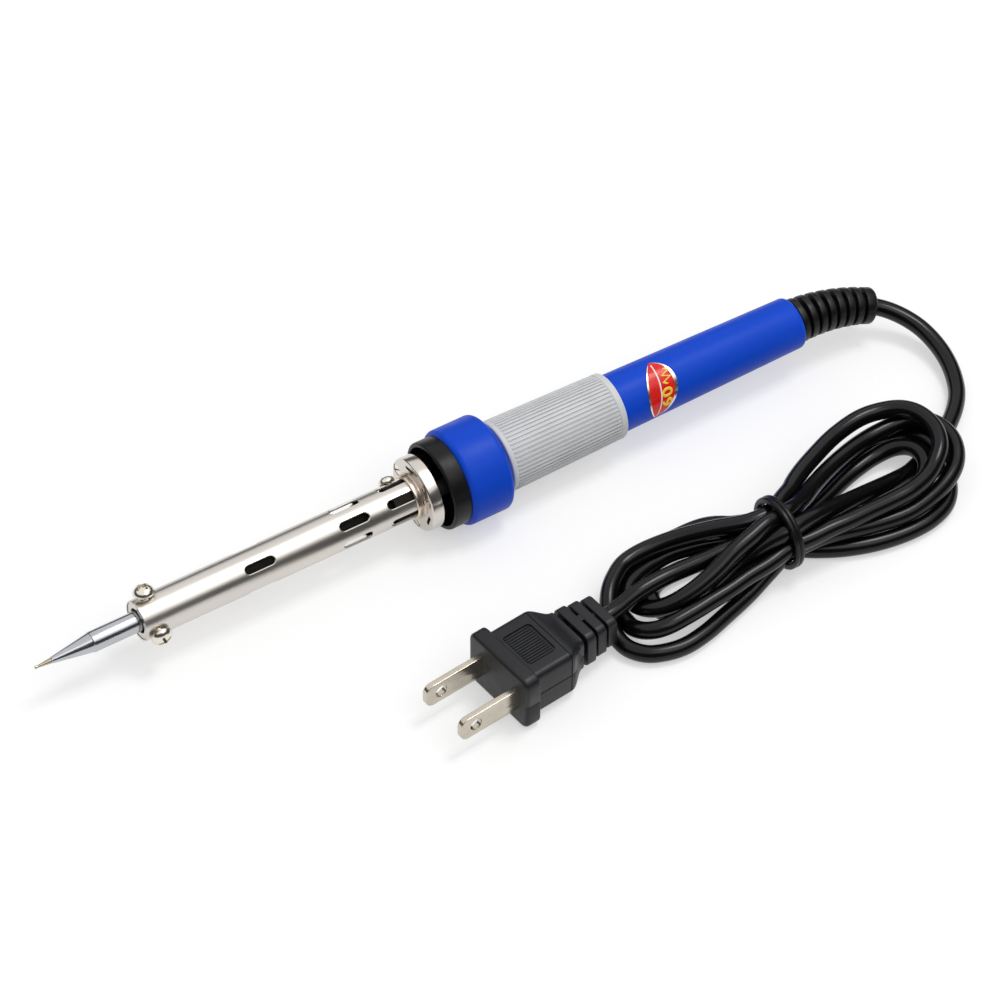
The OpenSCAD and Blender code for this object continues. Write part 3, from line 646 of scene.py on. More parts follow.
LEFT_2 = [(57, -45, 8.2), (52.6, -41.8, 6.2), (49, -38.9, 4.2), (43, -37.1, 2.6), (38, -36.3, 2.2),
          (32, -36.9, 2.1), (28, -38.8, 2.1), (24.8, -41.6, 2.1), (22.6, -44.8, 2.1), (21.4, -48.6, 2.2),
          (20.6, -52.5, 3), (20.2, -56.4, 4.3), (22.2, -59.6, 5.5), (26.4, -60.9, 6.3), (32.5, -60.8, 7),
          (38.2, -60.2, 7.5), (44, -59.6, 8), (51.7, -58.1, 8.6), (58.5, -57.6, 9), (63.4, -58.5, 9.1)]
RIGHT_2 = [(68, -58.6, 9), (73, -58.6, 9), (79, -59, 9), (85, -59, 9.1), (91, -59, 9.1), (97, -58.7, 9.2),
           (102.6, -57.2, 9.3), (106.4, -55, 9.5), (110, -52, 10.5), (111.9, -48.2, 11), (112.3, -44.4, 11.2),
           (111.3, -40.4, 11.2), (108.8, -37, 10.9), (104.8, -34.8, 10.6), (99.8, -33.8, 10.5),
           (92, -34.8, 10.5), (83.4, -37.8, 11), (75.9, -41, 11.5), (68.8, -45.4, 12.3), (63.4, -49.1, 12.8)]
LEFT_3 = [(57.8, -48.9, 12.2), (49.8, -45.4, 10.8), (42, -42.2, 8.6), (35, -40.9, 7), (29, -41.3, 6.5),
          (25.4, -43.3, 6.5), (22.6, -45.6, 6.4), (20.4, -48.4, 5.8), (18.6, -51.8, 4.4), (17.8, -55.4, 3),
          (18.2, -59.6, 2.2), (20.6, -63.2, 2.1), (24.4, -65.1, 2.1), (29.2, -65.9, 2.1), (35.5, -65, 2.1),
          (41.5, -63.2, 2.1), (50, -60.6, 2.4), (57, -58.5, 3.8), (63.4, -56.9, 5.2)]
RIGHT_3 = [(70, -57.2, 4.9), (76, -58.3, 4.8), (86, -60.6, 4.6), (94, -61.6, 4.5), (101, -60.6, 4.5),
           (107, -58.6, 4.6), (111.4, -55.8, 5.1), (114, -52.4, 5.9), (114.9, -48.6, 6.5), (114.1, -44.8, 6.8),
           (112, -41.4, 6.8), (108.2, -38.6, 6.6), (102.8, -37.6, 6.4), (96.2, -38, 6.6), (87.7, -40.5, 7.7),
           (77.9, -44.9, 9.8), (69.9, -49.4, 12), (63.4, -53, 14.2)]
LEFT_4 = [(55.8, -55, 13.9), (48.6, -56.2, 12.9), (43.2, -57.4, 11.2), (38.2, -58, 9.5), (34, -58, 8.2),
          (29.5, -57.2, 7), (25.9, -55.2, 6.2), (24.2, -52, 5.6), (24.4, -48.6, 5), (26.4, -45.9, 4.6),
          (29.2, -44.2, 4.5), (34.2, -42.4, 4.5), (40.2, -41.6, 4.5), (47.6, -42.8, 4.6), (53.6, -45, 4.8),
          (58.2, -47.2, 5), (63.4, -49.1, 5.2)]
RIGHT_4 = [(70, -48.2, 4.4), (76, -46.3, 3.4), (83, -43.8, 2.5), (89, -41.6, 2.2), (95, -40.2, 2.3),
           (101, -40, 3), (106, -41.4, 4.2), (109.3, -44.6, 5.2), (110, -48.6, 5.6), (107.8, -52.2, 5),
           (103.4, -54.2, 3.8), (97, -54.8, 2.8), (90, -54.8, 3), (83, -54.6, 4), (76, -54.2, 5.8),
           (70, -53.6, 7.6), (63.4, -53, 9.1)]
TO_PLUG = [(56, -52.8, 9.1), (48, -52.4, 9.4), (40, -52.1, 9.9), (32, -51.9, 10.2), (26, -52, 9.6),
           (20, -52.3, 8.3), (14.8, -52.8, 7.75), (11.8, -53.1, 7.75)]
TIE_AT = (63.4, -53, 9.1)
STRANDS_IN_TIE = 5.6


def spline(points, step):
    """A smooth line through the points, with a point at every step."""
    p = np.array(points, float)
    p = np.vstack([2 * p[0] - p[1], p, 2 * p[-1] - p[-2]])
    out = []
    for p0, p1, p2, p3 in zip(p, p[1:], p[2:], p[3:]):
        t1 = np.linalg.norm(p1 - p0) ** 0.5
        t2 = t1 + np.linalg.norm(p2 - p1) ** 0.5
        t3 = t2 + np.linalg.norm(p3 - p2) ** 0.5
        for t in np.linspace(t1, t2, 24, endpoint=False):
            a1 = (t1 - t) / t1 * p0 + t / t1 * p1
            a2 = (t2 - t) / (t2 - t1) * p1 + (t - t1) / (t2 - t1) * p2
            a3 = (t3 - t) / (t3 - t2) * p2 + (t - t2) / (t3 - t2) * p3
            b1 = (t2 - t) / t2 * a1 + t / t2 * a2
            b2 = (t3 - t) / (t3 - t1) * a2 + (t - t1) / (t3 - t1) * a3
            out.append((t2 - t) / (t2 - t1) * b1 + (t - t1) / (t2 - t1) * b2)
    return evenly(np.array(out + [p[-2]]), step)


def evenly(line, step):
    run = np.concatenate([[0], np.cumsum(np.linalg.norm(np.diff(line, axis=0), axis=1))])
    at = np.linspace(0, run[-1], int(round(run[-1] / step)) + 1)
    return np.stack([np.interp(at, run, line[:, k]) for k in range(3)], 1)


def settled(line, held, diameter, step, rounds):
    """Pushes strands that lie in each other apart, on the floor and inside the tie.

    held is 1 for points that stay and 0 for points that are free.
    """
    x, n = line.copy(), len(line)
    skip = int(round(2.2 * diameter / step))
    gap = diameter * 1.01
    free = (1 - held)[:, None]
    plug_at = np.array(IN_PLUG.translation)
    plug_way = np.array(IN_PLUG.to_3x3() @ Vector((1, 0, 0)))
    plug_length, plug_clear = 30.8, 7.4
    tie = np.array(TIE_AT)
    in_plug = np.arange(n) > n - 8
    for k in range(rounds):
        if k % 8 == 0:
            apart = np.linalg.norm(x[:, None] - x[None], axis=2)
            i, j = np.where(apart < diameter + 4)
            i, j = i[j - i > skip], j[j - i > skip]
        v = x[i] - x[j]
        r = np.maximum(np.linalg.norm(v, axis=1), 1e-6)
        over = np.maximum(gap - r, 0)
        push = v / r[:, None] * over[:, None] * 0.5
        move, hits = np.zeros_like(x), np.zeros(n)
        for side, way in ((i, push), (j, -push)):
            np.add.at(move, side, way)
        for side in (i, j):
            np.add.at(hits, side[over > 0], 1)
        move /= np.maximum(hits, 1)[:, None] ** 0.7
        w = x - plug_at
        run = w @ plug_way
        out = w - np.outer(run, plug_way)
        far = np.linalg.norm(out, axis=1)
        near = (run > 0) & (run < plug_length) & (far < plug_clear) & ~in_plug
        move[near] += out[near] / far[near, None] * (plug_clear - far[near])[:, None] * 0.6
        x = x + move * free * 0.9
        late = k > rounds * 0.8
        off = (x - line) * free
        for _ in range(1 if late else 4):
            off[1:-1] = 0.25 * off[:-2] + 0.5 * off[1:-1] + 0.25 * off[2:]
        x = line + off * (1 if late else 0.985)
        if not late:
            x[1:-1] += 0.04 * (x[:-2] + x[2:] - 2 * x[1:-1]) * free[1:-1]
        x[:, 2] = np.maximum(x[:, 2], diameter / 2 + 0.02)
        side = np.abs(x[:, 0] - tie[0])
        q = x[:, 1:] - tie[1:]
        limit = STRANDS_IN_TIE + np.maximum(side - 2, 0) * 0.45
        scale = np.minimum(1, limit / np.maximum(np.linalg.norm(q, axis=1), 1e-6))
        pull = np.where(side < 9, scale, 1)[:, None]
        x[:, 1:] = tie[1:] + q * pull
    return x


def eased(line, least, held, rounds=120):
    """Opens bends that are tighter than least, in millimetres."""
    x = line.copy()
    for _ in range(rounds):
        a, b, c = x[:-2], x[1:-1], x[2:]
        sides = [np.linalg.norm(q - p, axis=1) for p, q in ((a, b), (b, c), (a, c))]
        area = np.linalg.norm(np.cross(b - a, c - a), axis=1)
        tight = np.clip(2 * (1 - sides[0] * sides[1] * sides[2] / np.maximum(2 * area, 1e-9) / least), 0, 1)
        for _ in range(3):
            tight[1:-1] = np.maximum(tight[1:-1], 0.25 * tight[:-2] + 0.5 * tight[1:-1] + 0.25 * tight[2:])
        x[1:-1] += 0.35 * (tight * (1 - held[1:-1]))[:, None] * (a + c - 2 * b)
    return x


class IRON_OT_lead(bpy.types.Operator):
    """Mains lead from the strain relief, through the tied hank, into the plug"""
    bl_idname = "iron.lead"
    bl_label = "Lead"

    def execute(self, context):
        s = context.scene.iron_lead
        lead = [tuple(c / MM for c in p) for p in LEAD]
        d, step = s.diameter / MM, s.step / MM
        route = ([IN_BOOT] + lead + INTO_TIE + LEFT_1 + RIGHT_1 + LEFT_2 + RIGHT_2 + LEFT_3
                 + RIGHT_3 + LEFT_4 + RIGHT_4 + TO_PLUG)
        line = spline(route, step)
        run = np.arange(len(line)) * step
        shown_to = run[np.argmin(np.linalg.norm(line[:60] - np.array(lead[-2]), axis=1))]
        held = np.maximum(np.clip((shown_to - 4 - run) / 12, 0, 1), np.clip((run - run[-1] + 8) / 4, 0, 1))
        line = settled(line, held, d, step, s.rounds)
        line = eased(line, s.least_bend / MM, held)
        points = spline(line, 1.0)
        curve = bpy.data.curves.new("mains_cord", "CURVE")
        curve.dimensions, curve.use_fill_caps = "3D", True
        curve.bevel_depth, curve.bevel_resolution = s.diameter / 2, 8
        line_in(curve, points, use_smooth=True)
        curve.materials.append(shade("cord_pvc"))
        cord = stood("mains_cord", curve)
        placed(cord, IRON, "cord_pvc", "mains_lead", "cord_hank", "plug_lead")
        return {"FINISHED"}


# ---- tip, barrel and screws ----

class IRON_OT_tip(bpy.types.Operator):
    """Turned tip: point, cone, shoulder and shank"""
    bl_idname = "iron.tip"
    bl_label = "Tip"

    def execute(self, context):
        s = context.scene.iron_tip
        r, cone, tinned = s.rod / MM / 2, s.cone / MM, s.tinned / MM
        back, neck = X_TIP_BACK - X_TIP, 0.68
        profile = rounded([(0, 0, 0), (0, 0.4, 0.3), (0.7, 0.3, 0.2), (tinned, neck, 0),
                           (tinned + 0.08, neck + 0.09, 0), (cone, r - 0.14, 0.3), (cone + 0.16, r, 0.06),
                           (back, r, 0.4), (back, 0, 0)], loop=False)
        tip = add("tip_turned", lathe([(X_TIP + x, q) for x, q in profile], 64, loop=False),
                  shade("plated_tip"), sharp=20)
        repaint(tip, "tinned_end", lambda c: c.x < (X_TIP + tinned) * MM)
        placed(tip, "tip", "plated_tip", "tip")
        return {"FINISHED"}


def slot_tool(name, size, width, lip, outer):
    """A cutter for one vent slot, wrapped round the axis: its mouth is broken by lip all round."""
    sections = []
    for depth, grow in ((-outer * 0.4, 0), (-lip, 0), (lip, 2 * lip)):
        ring = outline(size + 2 * grow, width + 2 * grow, width / 2 + grow - 0.01, steps=8)
        rho = outer + depth
        sections.append([(x, -rho * math.sin(y / outer), rho * math.cos(y / outer)) for x, y in ring])
    return add(name, loft(sections), shade("nickel_steel"), Matrix())


def hole_tool(name, d, low, high):
    """A round cutter along +Z, from low to high."""
    ring = [(d / 2 * math.cos(a), d / 2 * math.sin(a)) for a in np.linspace(0, 2 * math.pi, 32, endpoint=False)]
    return add(name, loft([[(x, y, z) for x, y in ring] for z in (low, high)]), shade("nickel_steel"), Matrix())


def true_round(obj):
    """Gives faces that lie on the round wall the normals of the true round."""
    mesh = obj.data
    corner = [Vector(n.vector) for n in mesh.corner_normals]
    for face in mesh.polygons:
        out = Vector((0, face.center.y, face.center.z - AXIS_Z * MM)).normalized()
        if abs(face.normal.dot(out)) < 0.985:
            continue
        for loop in face.loop_indices:
            co = mesh.vertices[mesh.loops[loop].vertex_index].co
            radial = Vector((0, co.y, co.z - AXIS_Z * MM)).normalized()
            corner[loop] = radial if face.normal.dot(radial) > 0 else -radial
    mesh.normals_split_custom_set(corner)


class IRON_OT_barrel(bpy.types.Operator):
    """Thin barrel with its three rows of vent slots, and the ring in its mouth"""
    bl_idname = "iron.barrel"
    bl_label = "Barrel"

    # How far each row of slots lies behind the nose, and how many slots it has
    rows = ((30.8, 4), (56, 6), (68.9, 6))

    def execute(self, context):
        s, screws = context.scene.iron_barrel, context.scene.iron_screws
        r, wall = s.outside / MM / 2, s.wall / MM
        tube = add("barrel", lathe(rounded([
            (X_NOSE, r, 0.14), (X_SPACER, r, 0.05), (X_SPACER, r - wall, 0), (X_NOSE, r - wall, 0.1)], steps=3), 128),
            shade("nickel_steel"))
        tools = []
        for row, (way, count) in enumerate(self.rows):
            tool = slot_tool(f"slots_{row}", s.slot / MM, s.slot_width / MM, s.lip / MM, r)
            tools.append(about(tool, count, VIEW_SIDE, X_NOSE + way))
        for name, x, a in (("hole_a", TIP_SCREWS_AT, UPPER_SCREW), ("hole_b", TIP_SCREWS_AT, LOWER_SCREW),
                           ("hole_c", BARREL_SCREW_AT, BARREL_SCREW)):
            tools.append(about(hole_tool(name, screws.shank / MM + 0.2, 2, 7), 1, a, x))
        cut(tube, *tools)
        true_round(tube)
        # The barrel's inner faces get near-black painted shade, so that the slots look dark
        repaint(tube, "burnt_steel", lambda c: from_axis(c) < (r - wall + 0.05) * MM)
        placed(tube, IRON, "nickel_steel", "barrel_tube")
        front, back, outer, bore = X_NOSE + 0.12, X_NOSE + 8, r - wall - 0.02, 3.08
        mouth = add("nose_ring", lathe(rounded([(front, outer, 0.05), (back, outer, 0), (back, bore, 0),
                                                (front, bore, 0.22)]), 96), shade("nickel_steel"))
        placed(mouth, IRON, "nickel_steel", "nose_bushing")
        return {"FINISHED"}


def pan_head(name, shank, head, reach):
    """A pan head screw along +Z with a cross recess and a threaded shank; Z = 0 is under the head."""
    high, r = 0.42 * head, head / 2
    thread = []
    z = -0.15
    while z > -reach + 0.25:
        thread += [(z, shank / 2 - 0.16, 0), (z - 0.2, shank / 2, 0)]
        z -= 0.42
    dome = [(0.3 + (high - 0.3) * math.cos(a), r * math.sin(a), 0) for a in np.linspace(0, math.pi / 2, 14)]
    profile = rounded(dome + [(0, r * 0.94, 0.1), (0, shank / 2, 0)] + thread +
                      [(-reach, shank / 2 - 0.2, 0), (-reach, 0, 0)], loop=False, steps=4)
    verts, faces = lathe(profile, 48, loop=False)
    screw = add(name, ([(y, z, x) for x, y, z in verts], faces), shade("screw_steel"), Matrix())
    arms = []
    for turn in (20, 110):
        sections = [[(x * long, y * wide, z) for x, y in ((1, 1), (-1, 1), (-1, -1), (1, -1))]
                    for z, long, wide in ((high * 0.2, r * 0.2, r * 0.06), (high * 0.6, r * 0.5, r * 0.1),
                                          (high * 1.2, r * 0.86, r * 0.15))]
        arms.append(add(f"{name}_arm", loft(sections), shade("screw_steel"),
                        Matrix.Rotation(math.radians(turn), 4, "Z")))
    return cut(screw, *arms, sharp=30)


class IRON_OT_screws(bpy.types.Operator):
    """The two screws that hold the tip and the one that holds the barrel"""
    bl_idname = "iron.screws"
    bl_label = "Screws"

    def execute(self, context):
        s, r = context.scene.iron_screws, context.scene.iron_barrel.outside / MM / 2
        rod, gap = context.scene.iron_tip.rod / MM / 2, s.standoff / MM
        for node, body, head, a, x, stand, reach in (
                ("tip_screw_upper", "upper_tip_screw", s.head, UPPER_SCREW, TIP_SCREWS_AT, gap + 0.4, rod + 0.09),
                ("tip_screw_lower", "lower_tip_screw", s.head, LOWER_SCREW, TIP_SCREWS_AT, gap, rod + 0.09),
                ("barrel_screw", IRON, s.barrel_head, BARREL_SCREW, BARREL_SCREW_AT, 0.02, 3.32)):
            screw = pan_head(f"{node}_pan_head", s.shank / MM, head / MM, r + stand - reach)
            placed(about(screw, 1, a, x, r + stand, sharp=30), body, "screw_steel", node)
        return {"FINISHED"}


# ---- flange and insulator ----

class IRON_OT_flange(bpy.types.Operator):
    """Flange with its hub, slots and counterbores, and the slotted screws in it"""
    bl_idname = "iron.flange"
    bl_label = "Flange"

    # Radius of the circle that the screws and slots lie on
    circle = 7.35

    def execute(self, context):
        r = context.scene.iron_barrel.outside / MM / 2 + 0.02
        face, hub, back = X_HUB + 1.0, X_HUB - 0.8, X_SPACER + 0.35
        plate = add("flange", lathe(rounded([
            (hub, r, 0), (hub, 5.6, 0.3), (face - 0.75, 5.6, 0.06), (face - 0.7, 5.4, 0), (face - 0.58, 5.4, 0),
            (face - 0.53, 5.75, 0.06), (face, 5.75, 0.1), (face, 9.2, 0.5), (back, 9.2, 0.5), (back, r, 0)]), 128),
            shade("flange_nickel"))
        # The hub in front of the flange's face gets the warm painted reflection
        repaint(plate, "warm_nickel", lambda c: c.x < (face - 0.05) * MM)
        holes = []
        for name, d, deep in (("bore", 3.2, 1.02), ("hole", 2.2, 4)):
            tool = hole_tool(name, d, -1, deep)
            tool.data.transform(Matrix.Rotation(math.radians(90), 4, "Y"))
            holes.append(about(tool, 3, FLANGE_SCREWS, face, self.circle))
        edge = ((1, .3), (.8, 1), (-.8, 1), (-1, .3), (-1, -.3), (-.8, -1), (.8, -1), (1, -.3))
        slot = add("flange_slot", loft([[(x, a * 3.4 / 2, b * 0.9 / 2) for a, b in edge] for x in (-1, 4)]),
                   shade("nickel_steel"), Matrix())
        holes.append(about(slot, 3, FLANGE_SCREWS + 60, face, self.circle))
        cut(plate, *holes)
        placed(plate, IRON, "nickel_steel", "mounting_flange")

        head = lathe(rounded([(0.1, 0, 0), (0.1, 1.5, 0.25), (1, 1.5, 0), (1, 1, 0), (11, 1, 0), (11, 0, 0)],
                             loop=False), 32, loop=False)
        screw = add("flange_screw_heads", head, shade("screw_steel"), Matrix())
        blade = add("blade", loft([[(x, 1.7 * a, 0.2 * b) for a, b in ((1, 1), (-1, 1), (-1, -1), (1, -1))]
                                   for x in (-1, 0.55)]), shade("screw_steel"), Matrix.Rotation(0.6, 4, "X"))
        cut(screw, blade)
        placed(about(screw, 3, FLANGE_SCREWS, face, self.circle), IRON, "screw_steel", "flange_screws")
        return {"FINISHED"}


class IRON_OT_insulator(bpy.types.Operator):
    """Black ring between the flange and the collar"""
    bl_idname = "iron.insulator"
    bl_label = "Insulator ring"

    def execute(self, context):
        bore, web, back = 4.9, X_RING + 2.2, X_COLLAR + 4
        ring = add("insulator", lathe(rounded([
            (web, bore, 0), (web, 9.9, 0.3), (X_RING, 9.9, 0.3), (X_RING, 11, 0.8), (X_COLLAR, 11, 0.1),
            (X_COLLAR, 9.3, 0), (back, 9.3, 0), (back, bore, 0)]), 128), shade("black_phenolic"))
        # Faces inside the ring's hollow get near-black painted shade
        repaint(ring, "deep_black", lambda c: from_axis(c) < 9.95 * MM)
        placed(ring, IRON, "black_phenolic", "insulator_ring")
        return {"FINISHED"}


# ---- handle, grip and label ----

def handle_radius(x, s):
    """Radius of the tapered back of the handle at station x."""
    share = max(0.0, x - X_GRIP_END) / (X_END - X_GRIP_END)
    return (s.body + (s.end - s.body) * share) / MM / 2


class IRON_OT_handle(bpy.types.Operator):
    """Blue collar, core and tapered back of the handle, one moulding"""
    bl_idname = "iron.handle"
    bl_label = "Handle"

    def execute(self, context):
        s = context.scene.iron_handle
        r, body, end, edge = s.collar / MM / 2, s.body / MM / 2, s.end / MM / 2, s.edge / MM
        back = X_COLLAR + s.collar_length / MM
        corners = [(X_COLLAR, 9.32, 0.2), (X_COLLAR, r, edge), (back, r, edge), (back, body, 0.3),
                   (X_GRIP_END, body, 8), (X_END, end, edge), (X_END, 4.27, 0.3), (X_END - 2.5, 4.27, 0),
                   (X_END - 2.5, 4.7, 0), (X_COLLAR + 4.1, 4.7, 0), (X_COLLAR + 4.1, 9.32, 0)]
        shell = add("handle", lathe(rounded(corners, steps=8), 160), shade("blue_plastic"))
        placed(shell, IRON, "blue_plastic", "handle_shell")
        return {"FINISHED"}


class IRON_OT_grip(bpy.types.Operator):
    """Pale sleeve with fine ribs between two plain bands"""
    bl_idname = "iron.grip"
    bl_label = "Grip"

    def execute(self, context):
        s, body = context.scene.iron_grip, context.scene.iron_handle.body / MM / 2 + 0.02
        front, back, rise = s.front / MM / 2, s.back / MM / 2, s.rib_height / MM
        long = X_GRIP_END - X_GRIP

        def r(x):
            return front + (back - front) * (x - X_GRIP) / long

        a, b = X_GRIP + 1.1, X_GRIP_END - 1.6
        sleeve = add("grip_sleeve_body", lathe(rounded([
            (X_GRIP, body, 0), (X_GRIP, front, 0.4), (a, r(a), 0.15), (a + 0.5, r(a) - rise, 0.2),
            (b - 0.5, r(b) - rise, 0.2), (b, r(b), 0.2), (X_GRIP_END, back, 0.8), (X_GRIP_END, body, 0)]), 128),
            shade("grip_rubber"))
        placed(sleeve, IRON, "grip_rubber", "grip_sleeve")
        half = math.pi * (front + back) / 2 / s.ribs * 0.66
        sections = []
        for x, high in ((a + 0.1, 0.05), (a + 0.3, 0.7), (a + 0.7, 0.96), (a + 8, 1), (a + 15, 1), (b - 8, 1),
                        (b - 0.7, 0.96), (b - 0.3, 0.7), (b - 0.1, 0.05)):
            base = r(x) - rise
            top = base + rise * high * 1.05
            sections.append([(x, half * math.sin(t) * (0.55 + 0.45 * math.cos(t * 0.9)),
                              base - 0.15 + (top - base + 0.15) * (0.5 + 0.5 * math.cos(t))) for t in
                             np.linspace(-math.pi, math.pi, 11)[:-1]])
        rib = add("grip_ribs", loft(sections), shade("grip_rubber"), Matrix())
        placed(about(rib, s.ribs, 3, sharp=50), IRON, "grip_rubber")
        return {"FINISHED"}


class IRON_OT_label(bpy.types.Operator):
    """Lens-shaped rating label: red field, foil edge, pale line, number and heater sign"""
    bl_idname = "iron.label"
    bl_label = "Label"

    # Half its width, how far its edges bulge, how far it leans, and where its middle lies
    half, front, back, lean, off, round_by = 7.7, 2.9, 5.45, 0.19, -0.55, 0.8

    def execute(self, context):
        handle = context.scene.iron_handle
        middle = X_GRIP_END + 10.4

        def wrap(x, v, lift):
            """A point at x along and v round the label, lift above the handle."""
            rho = handle_radius(middle + x, handle) + lift
            a = math.radians(LABEL_SIDE) + v / rho
            return middle + x, -rho * math.sin(a), rho * math.cos(a)

        def edge(v, depth):
            """Station of an arc that bulges by depth from the label's leaning middle line."""
            v -= self.round_by
            bulge = (self.half ** 2 + depth ** 2) / (2 * depth)
            rise = math.sqrt(max(bulge ** 2 - v ** 2, 0)) - (bulge - depth) if depth else 0.0
            return self.off - self.lean * v + rise

        def front(v):
            return 2 * (self.off - self.lean * (v - self.round_by)) - edge(v, self.front)

        def back(v):
            return edge(v, self.back)

        def patch(name, low, high, reach, paint, lift, thick, cross=10, steps=48):
            """A thin film between two edges that run round the handle."""
            top, under = [], []
            for v in np.linspace(self.round_by - reach, self.round_by + reach, steps):
                for u in np.linspace(0, 1, cross):
                    x = low(v) + (high(v) - low(v)) * u
                    top.append(wrap(x, v, lift + thick))
                    under.append(wrap(x, v, lift))
            n = len(top)
            faces = []
            for i in range(steps - 1):
                for k in range(cross - 1):
                    q = i * cross + k
                    faces += [(q, q + 1, q + cross + 1, q + cross),
                              (n + q, n + q + cross, n + q + cross + 1, n + q + 1)]
                for k in (0, cross - 1):
                    q = i * cross + k
                    faces.append((q, q + cross, n + q + cross, n + q))
            for i in (0, steps - 1):
                faces += [(i * cross + k, i * cross + k + 1, n + i * cross + k + 1, n + i * cross + k)
                          for k in range(cross - 1)]
            return add(name, (top + under, faces), shade(paint))

        def share(v):
            return math.cos((v - self.round_by) / self.half * math.pi / 2)

        field = patch("label_field", front, back, self.half * 0.995, "label_film", 0.02, 0.1)
        placed(field, IRON, "label_film", "rating_label")
        rim = patch("label_rim", lambda v: back(v) - 0.12 - 0.8 * share(v), back, self.half * 0.97, "label_foil",
                    0.1, 0.05, cross=4)
        edge_strip = patch("label_front_rim", front, lambda v: front(v) + 0.12 + 0.35 * share(v), self.half * 0.9,
                           "label_foil", 0.1, 0.05, cross=3)
        placed(joined("label_edges", rim, edge_strip), IRON, "label_film")
        line = patch("label_line", lambda v: edge(v, 0.75) - 0.17, lambda v: edge(v, 0.75) + 0.17, self.half * 0.88,
                     "label_white", 0.1, 0.06, cross=3)
        placed(line, IRON, "label_film")

        def wrapped(name, flat, wide, high, across, up):
            """A raised sign from a flat mesh, X across and Y up, bent round the label."""
            bm = bmesh.new()
            bm.from_mesh(flat)
            bmesh.ops.triangulate(bm, faces=bm.faces[:])
            for _ in range(2):
                long = [e for e in bm.edges if e.calc_length() * high > 0.45]
                bmesh.ops.subdivide_edges(bm, edges=long, cuts=1)
                bmesh.ops.triangulate(bm, faces=bm.faces[:])
            solid = bmesh.ops.extrude_face_region(bm, geom=bm.faces[:])
            raised = {v for v in solid["geom"] if isinstance(v, bmesh.types.BMVert)}
            for v in bm.verts:
                x, y = v.co.x * wide + across, v.co.y * high + up
                y -= self.lean * x
                v.co = (ON_AXIS @ Vector(wrap(-y, -x, 0.16 if v in raised else 0.1))) * MM
            bmesh.ops.recalc_face_normals(bm, faces=bm.faces)
            mesh = bpy.data.meshes.new(name)
            bm.to_mesh(mesh)
            bm.free()
            mesh.materials.append(shade("label_yellow"))
            placed(stood(name, mesh), IRON, "label_film")

        text = bpy.data.curves.new("number", "FONT")
        text.body, text.align_x, text.align_y, text.resolution_u = "60", "CENTER", "CENTER", 6
        text.offset, text.space_character = 0.03, 1.12
        shape = stood("number", text)
        context.view_layer.update()
        wrapped("label_number", bpy.data.meshes.new_from_object(shape), 4.7, 3.9, -3.15, -2.1)
        discard(shape)
        zig = [(-1.2, 0.35), (-0.75, 1), (-0.25, -0.45), (0.25, 1), (0.75, -0.45), (1.2, 0.35)]
        flat = bpy.data.meshes.new("zigzag")
        flat.from_pydata([(x, y - drop, 0) for drop in (0, 0.55) for x, y in zig], [],
                         [(i, i + 1, 7 + i, 6 + i) for i in range(5)])
        wrapped("label_heater_sign", flat, 1.6, 1.45, 1.95, -2.45)
        return {"FINISHED"}


# ---- strain relief and tie ----

class IRON_OT_boot(bpy.types.Operator):
    """Ribbed strain relief, which droops and turns towards the hank"""
    bl_idname = "iron.boot"
    bl_label = "Strain relief"

    plane, start, last = -42, 0.2, 2.8

    def execute(self, context):
        s = context.scene.iron_boot
        reach, bend = s.reach / MM, s.bend
        radius, back = reach / bend, reach - self.last
        turn = Matrix.Translation((X_END, 0, AXIS_Z)) @ Matrix.Rotation(math.radians(self.plane), 4, "X")
        pitch = (back - self.start) / (s.ribs - 1)

        def bent(x, y, z):
            """A point of the straight boot, moved to the bent one."""
            a = x / radius
            return turn @ Vector((radius * math.sin(a) + z * math.sin(a), y,
                                  -radius * (1 - math.cos(a)) + z * math.cos(a)))

        root, end = s.root / MM / 2, s.end / MM / 2
        core = 0.68
        stem = [(-6.7, 0), (-6.7, 4.6), (-2.54, 4.6), (-2.52, 4.25), (0.1, 4.25), (0.3, root * core)]
        stem += [(x, (root + (end - root) * x / reach) * core) for x in np.linspace(1, back, 24)]
        stem += rounded([(back, end * core, 0), (back, end, 0.28), (reach, end, 0.9), (reach, 2.3, 0.25),
                         (reach - 1.5, 2.1, 0)], loop=False)[1:]
        stem += [(reach - 1.6, 0)]
        verts, faces = lathe(stem, 64, loop=False)
        body = add("boot_stem", ([bent(*v) for v in verts], faces), shade("boot_pvc"), Matrix())
        placed(body, IRON, "boot_pvc", "cord_boot")
        ring = add("boot_ribs", lathe(rounded([(-0.86, root * 0.6, 0), (-0.8, root, 0.2), (0.8, root, 0.2),
                                               (0.86, root * 0.6, 0)], steps=4), 64), shade("boot_pvc"), Matrix())
        small = (root + (end - root) * (s.ribs - 2) / (s.ribs - 1)) / root
        path = [bent(self.start + 0.8 + pitch * (s.ribs - 2) * k / 40, 0, 0) for k in range(41)]
        placed(along(ring, path, s.ribs - 1, small), IRON, "boot_pvc")
        return {"FINISHED"}


class IRON_OT_tie(bpy.types.Operator):
    """Band round the hank's waist, with a groove along its middle"""
    bl_idname = "iron.tie"
    bl_label = "Tie"

    def execute(self, context):
        inner, outer = 7.72, 9.1
        band = rounded([(-1.2, inner, 0.25), (-1.2, outer, 0.5), (-0.12, outer, 0.4), (0, outer - 0.4, 0.1),
                        (0.12, outer, 0.4), (1.2, outer, 0.5), (1.2, inner, 0.25)], steps=4)
        tie = add("hank_tie", lathe(band, 96), shade("black_sleeve"), Matrix.Translation(TIE_AT))
        placed(tie, IRON, "black_sleeve", "cord_tie")
        return {"FINISHED"}


# ---- plug ----

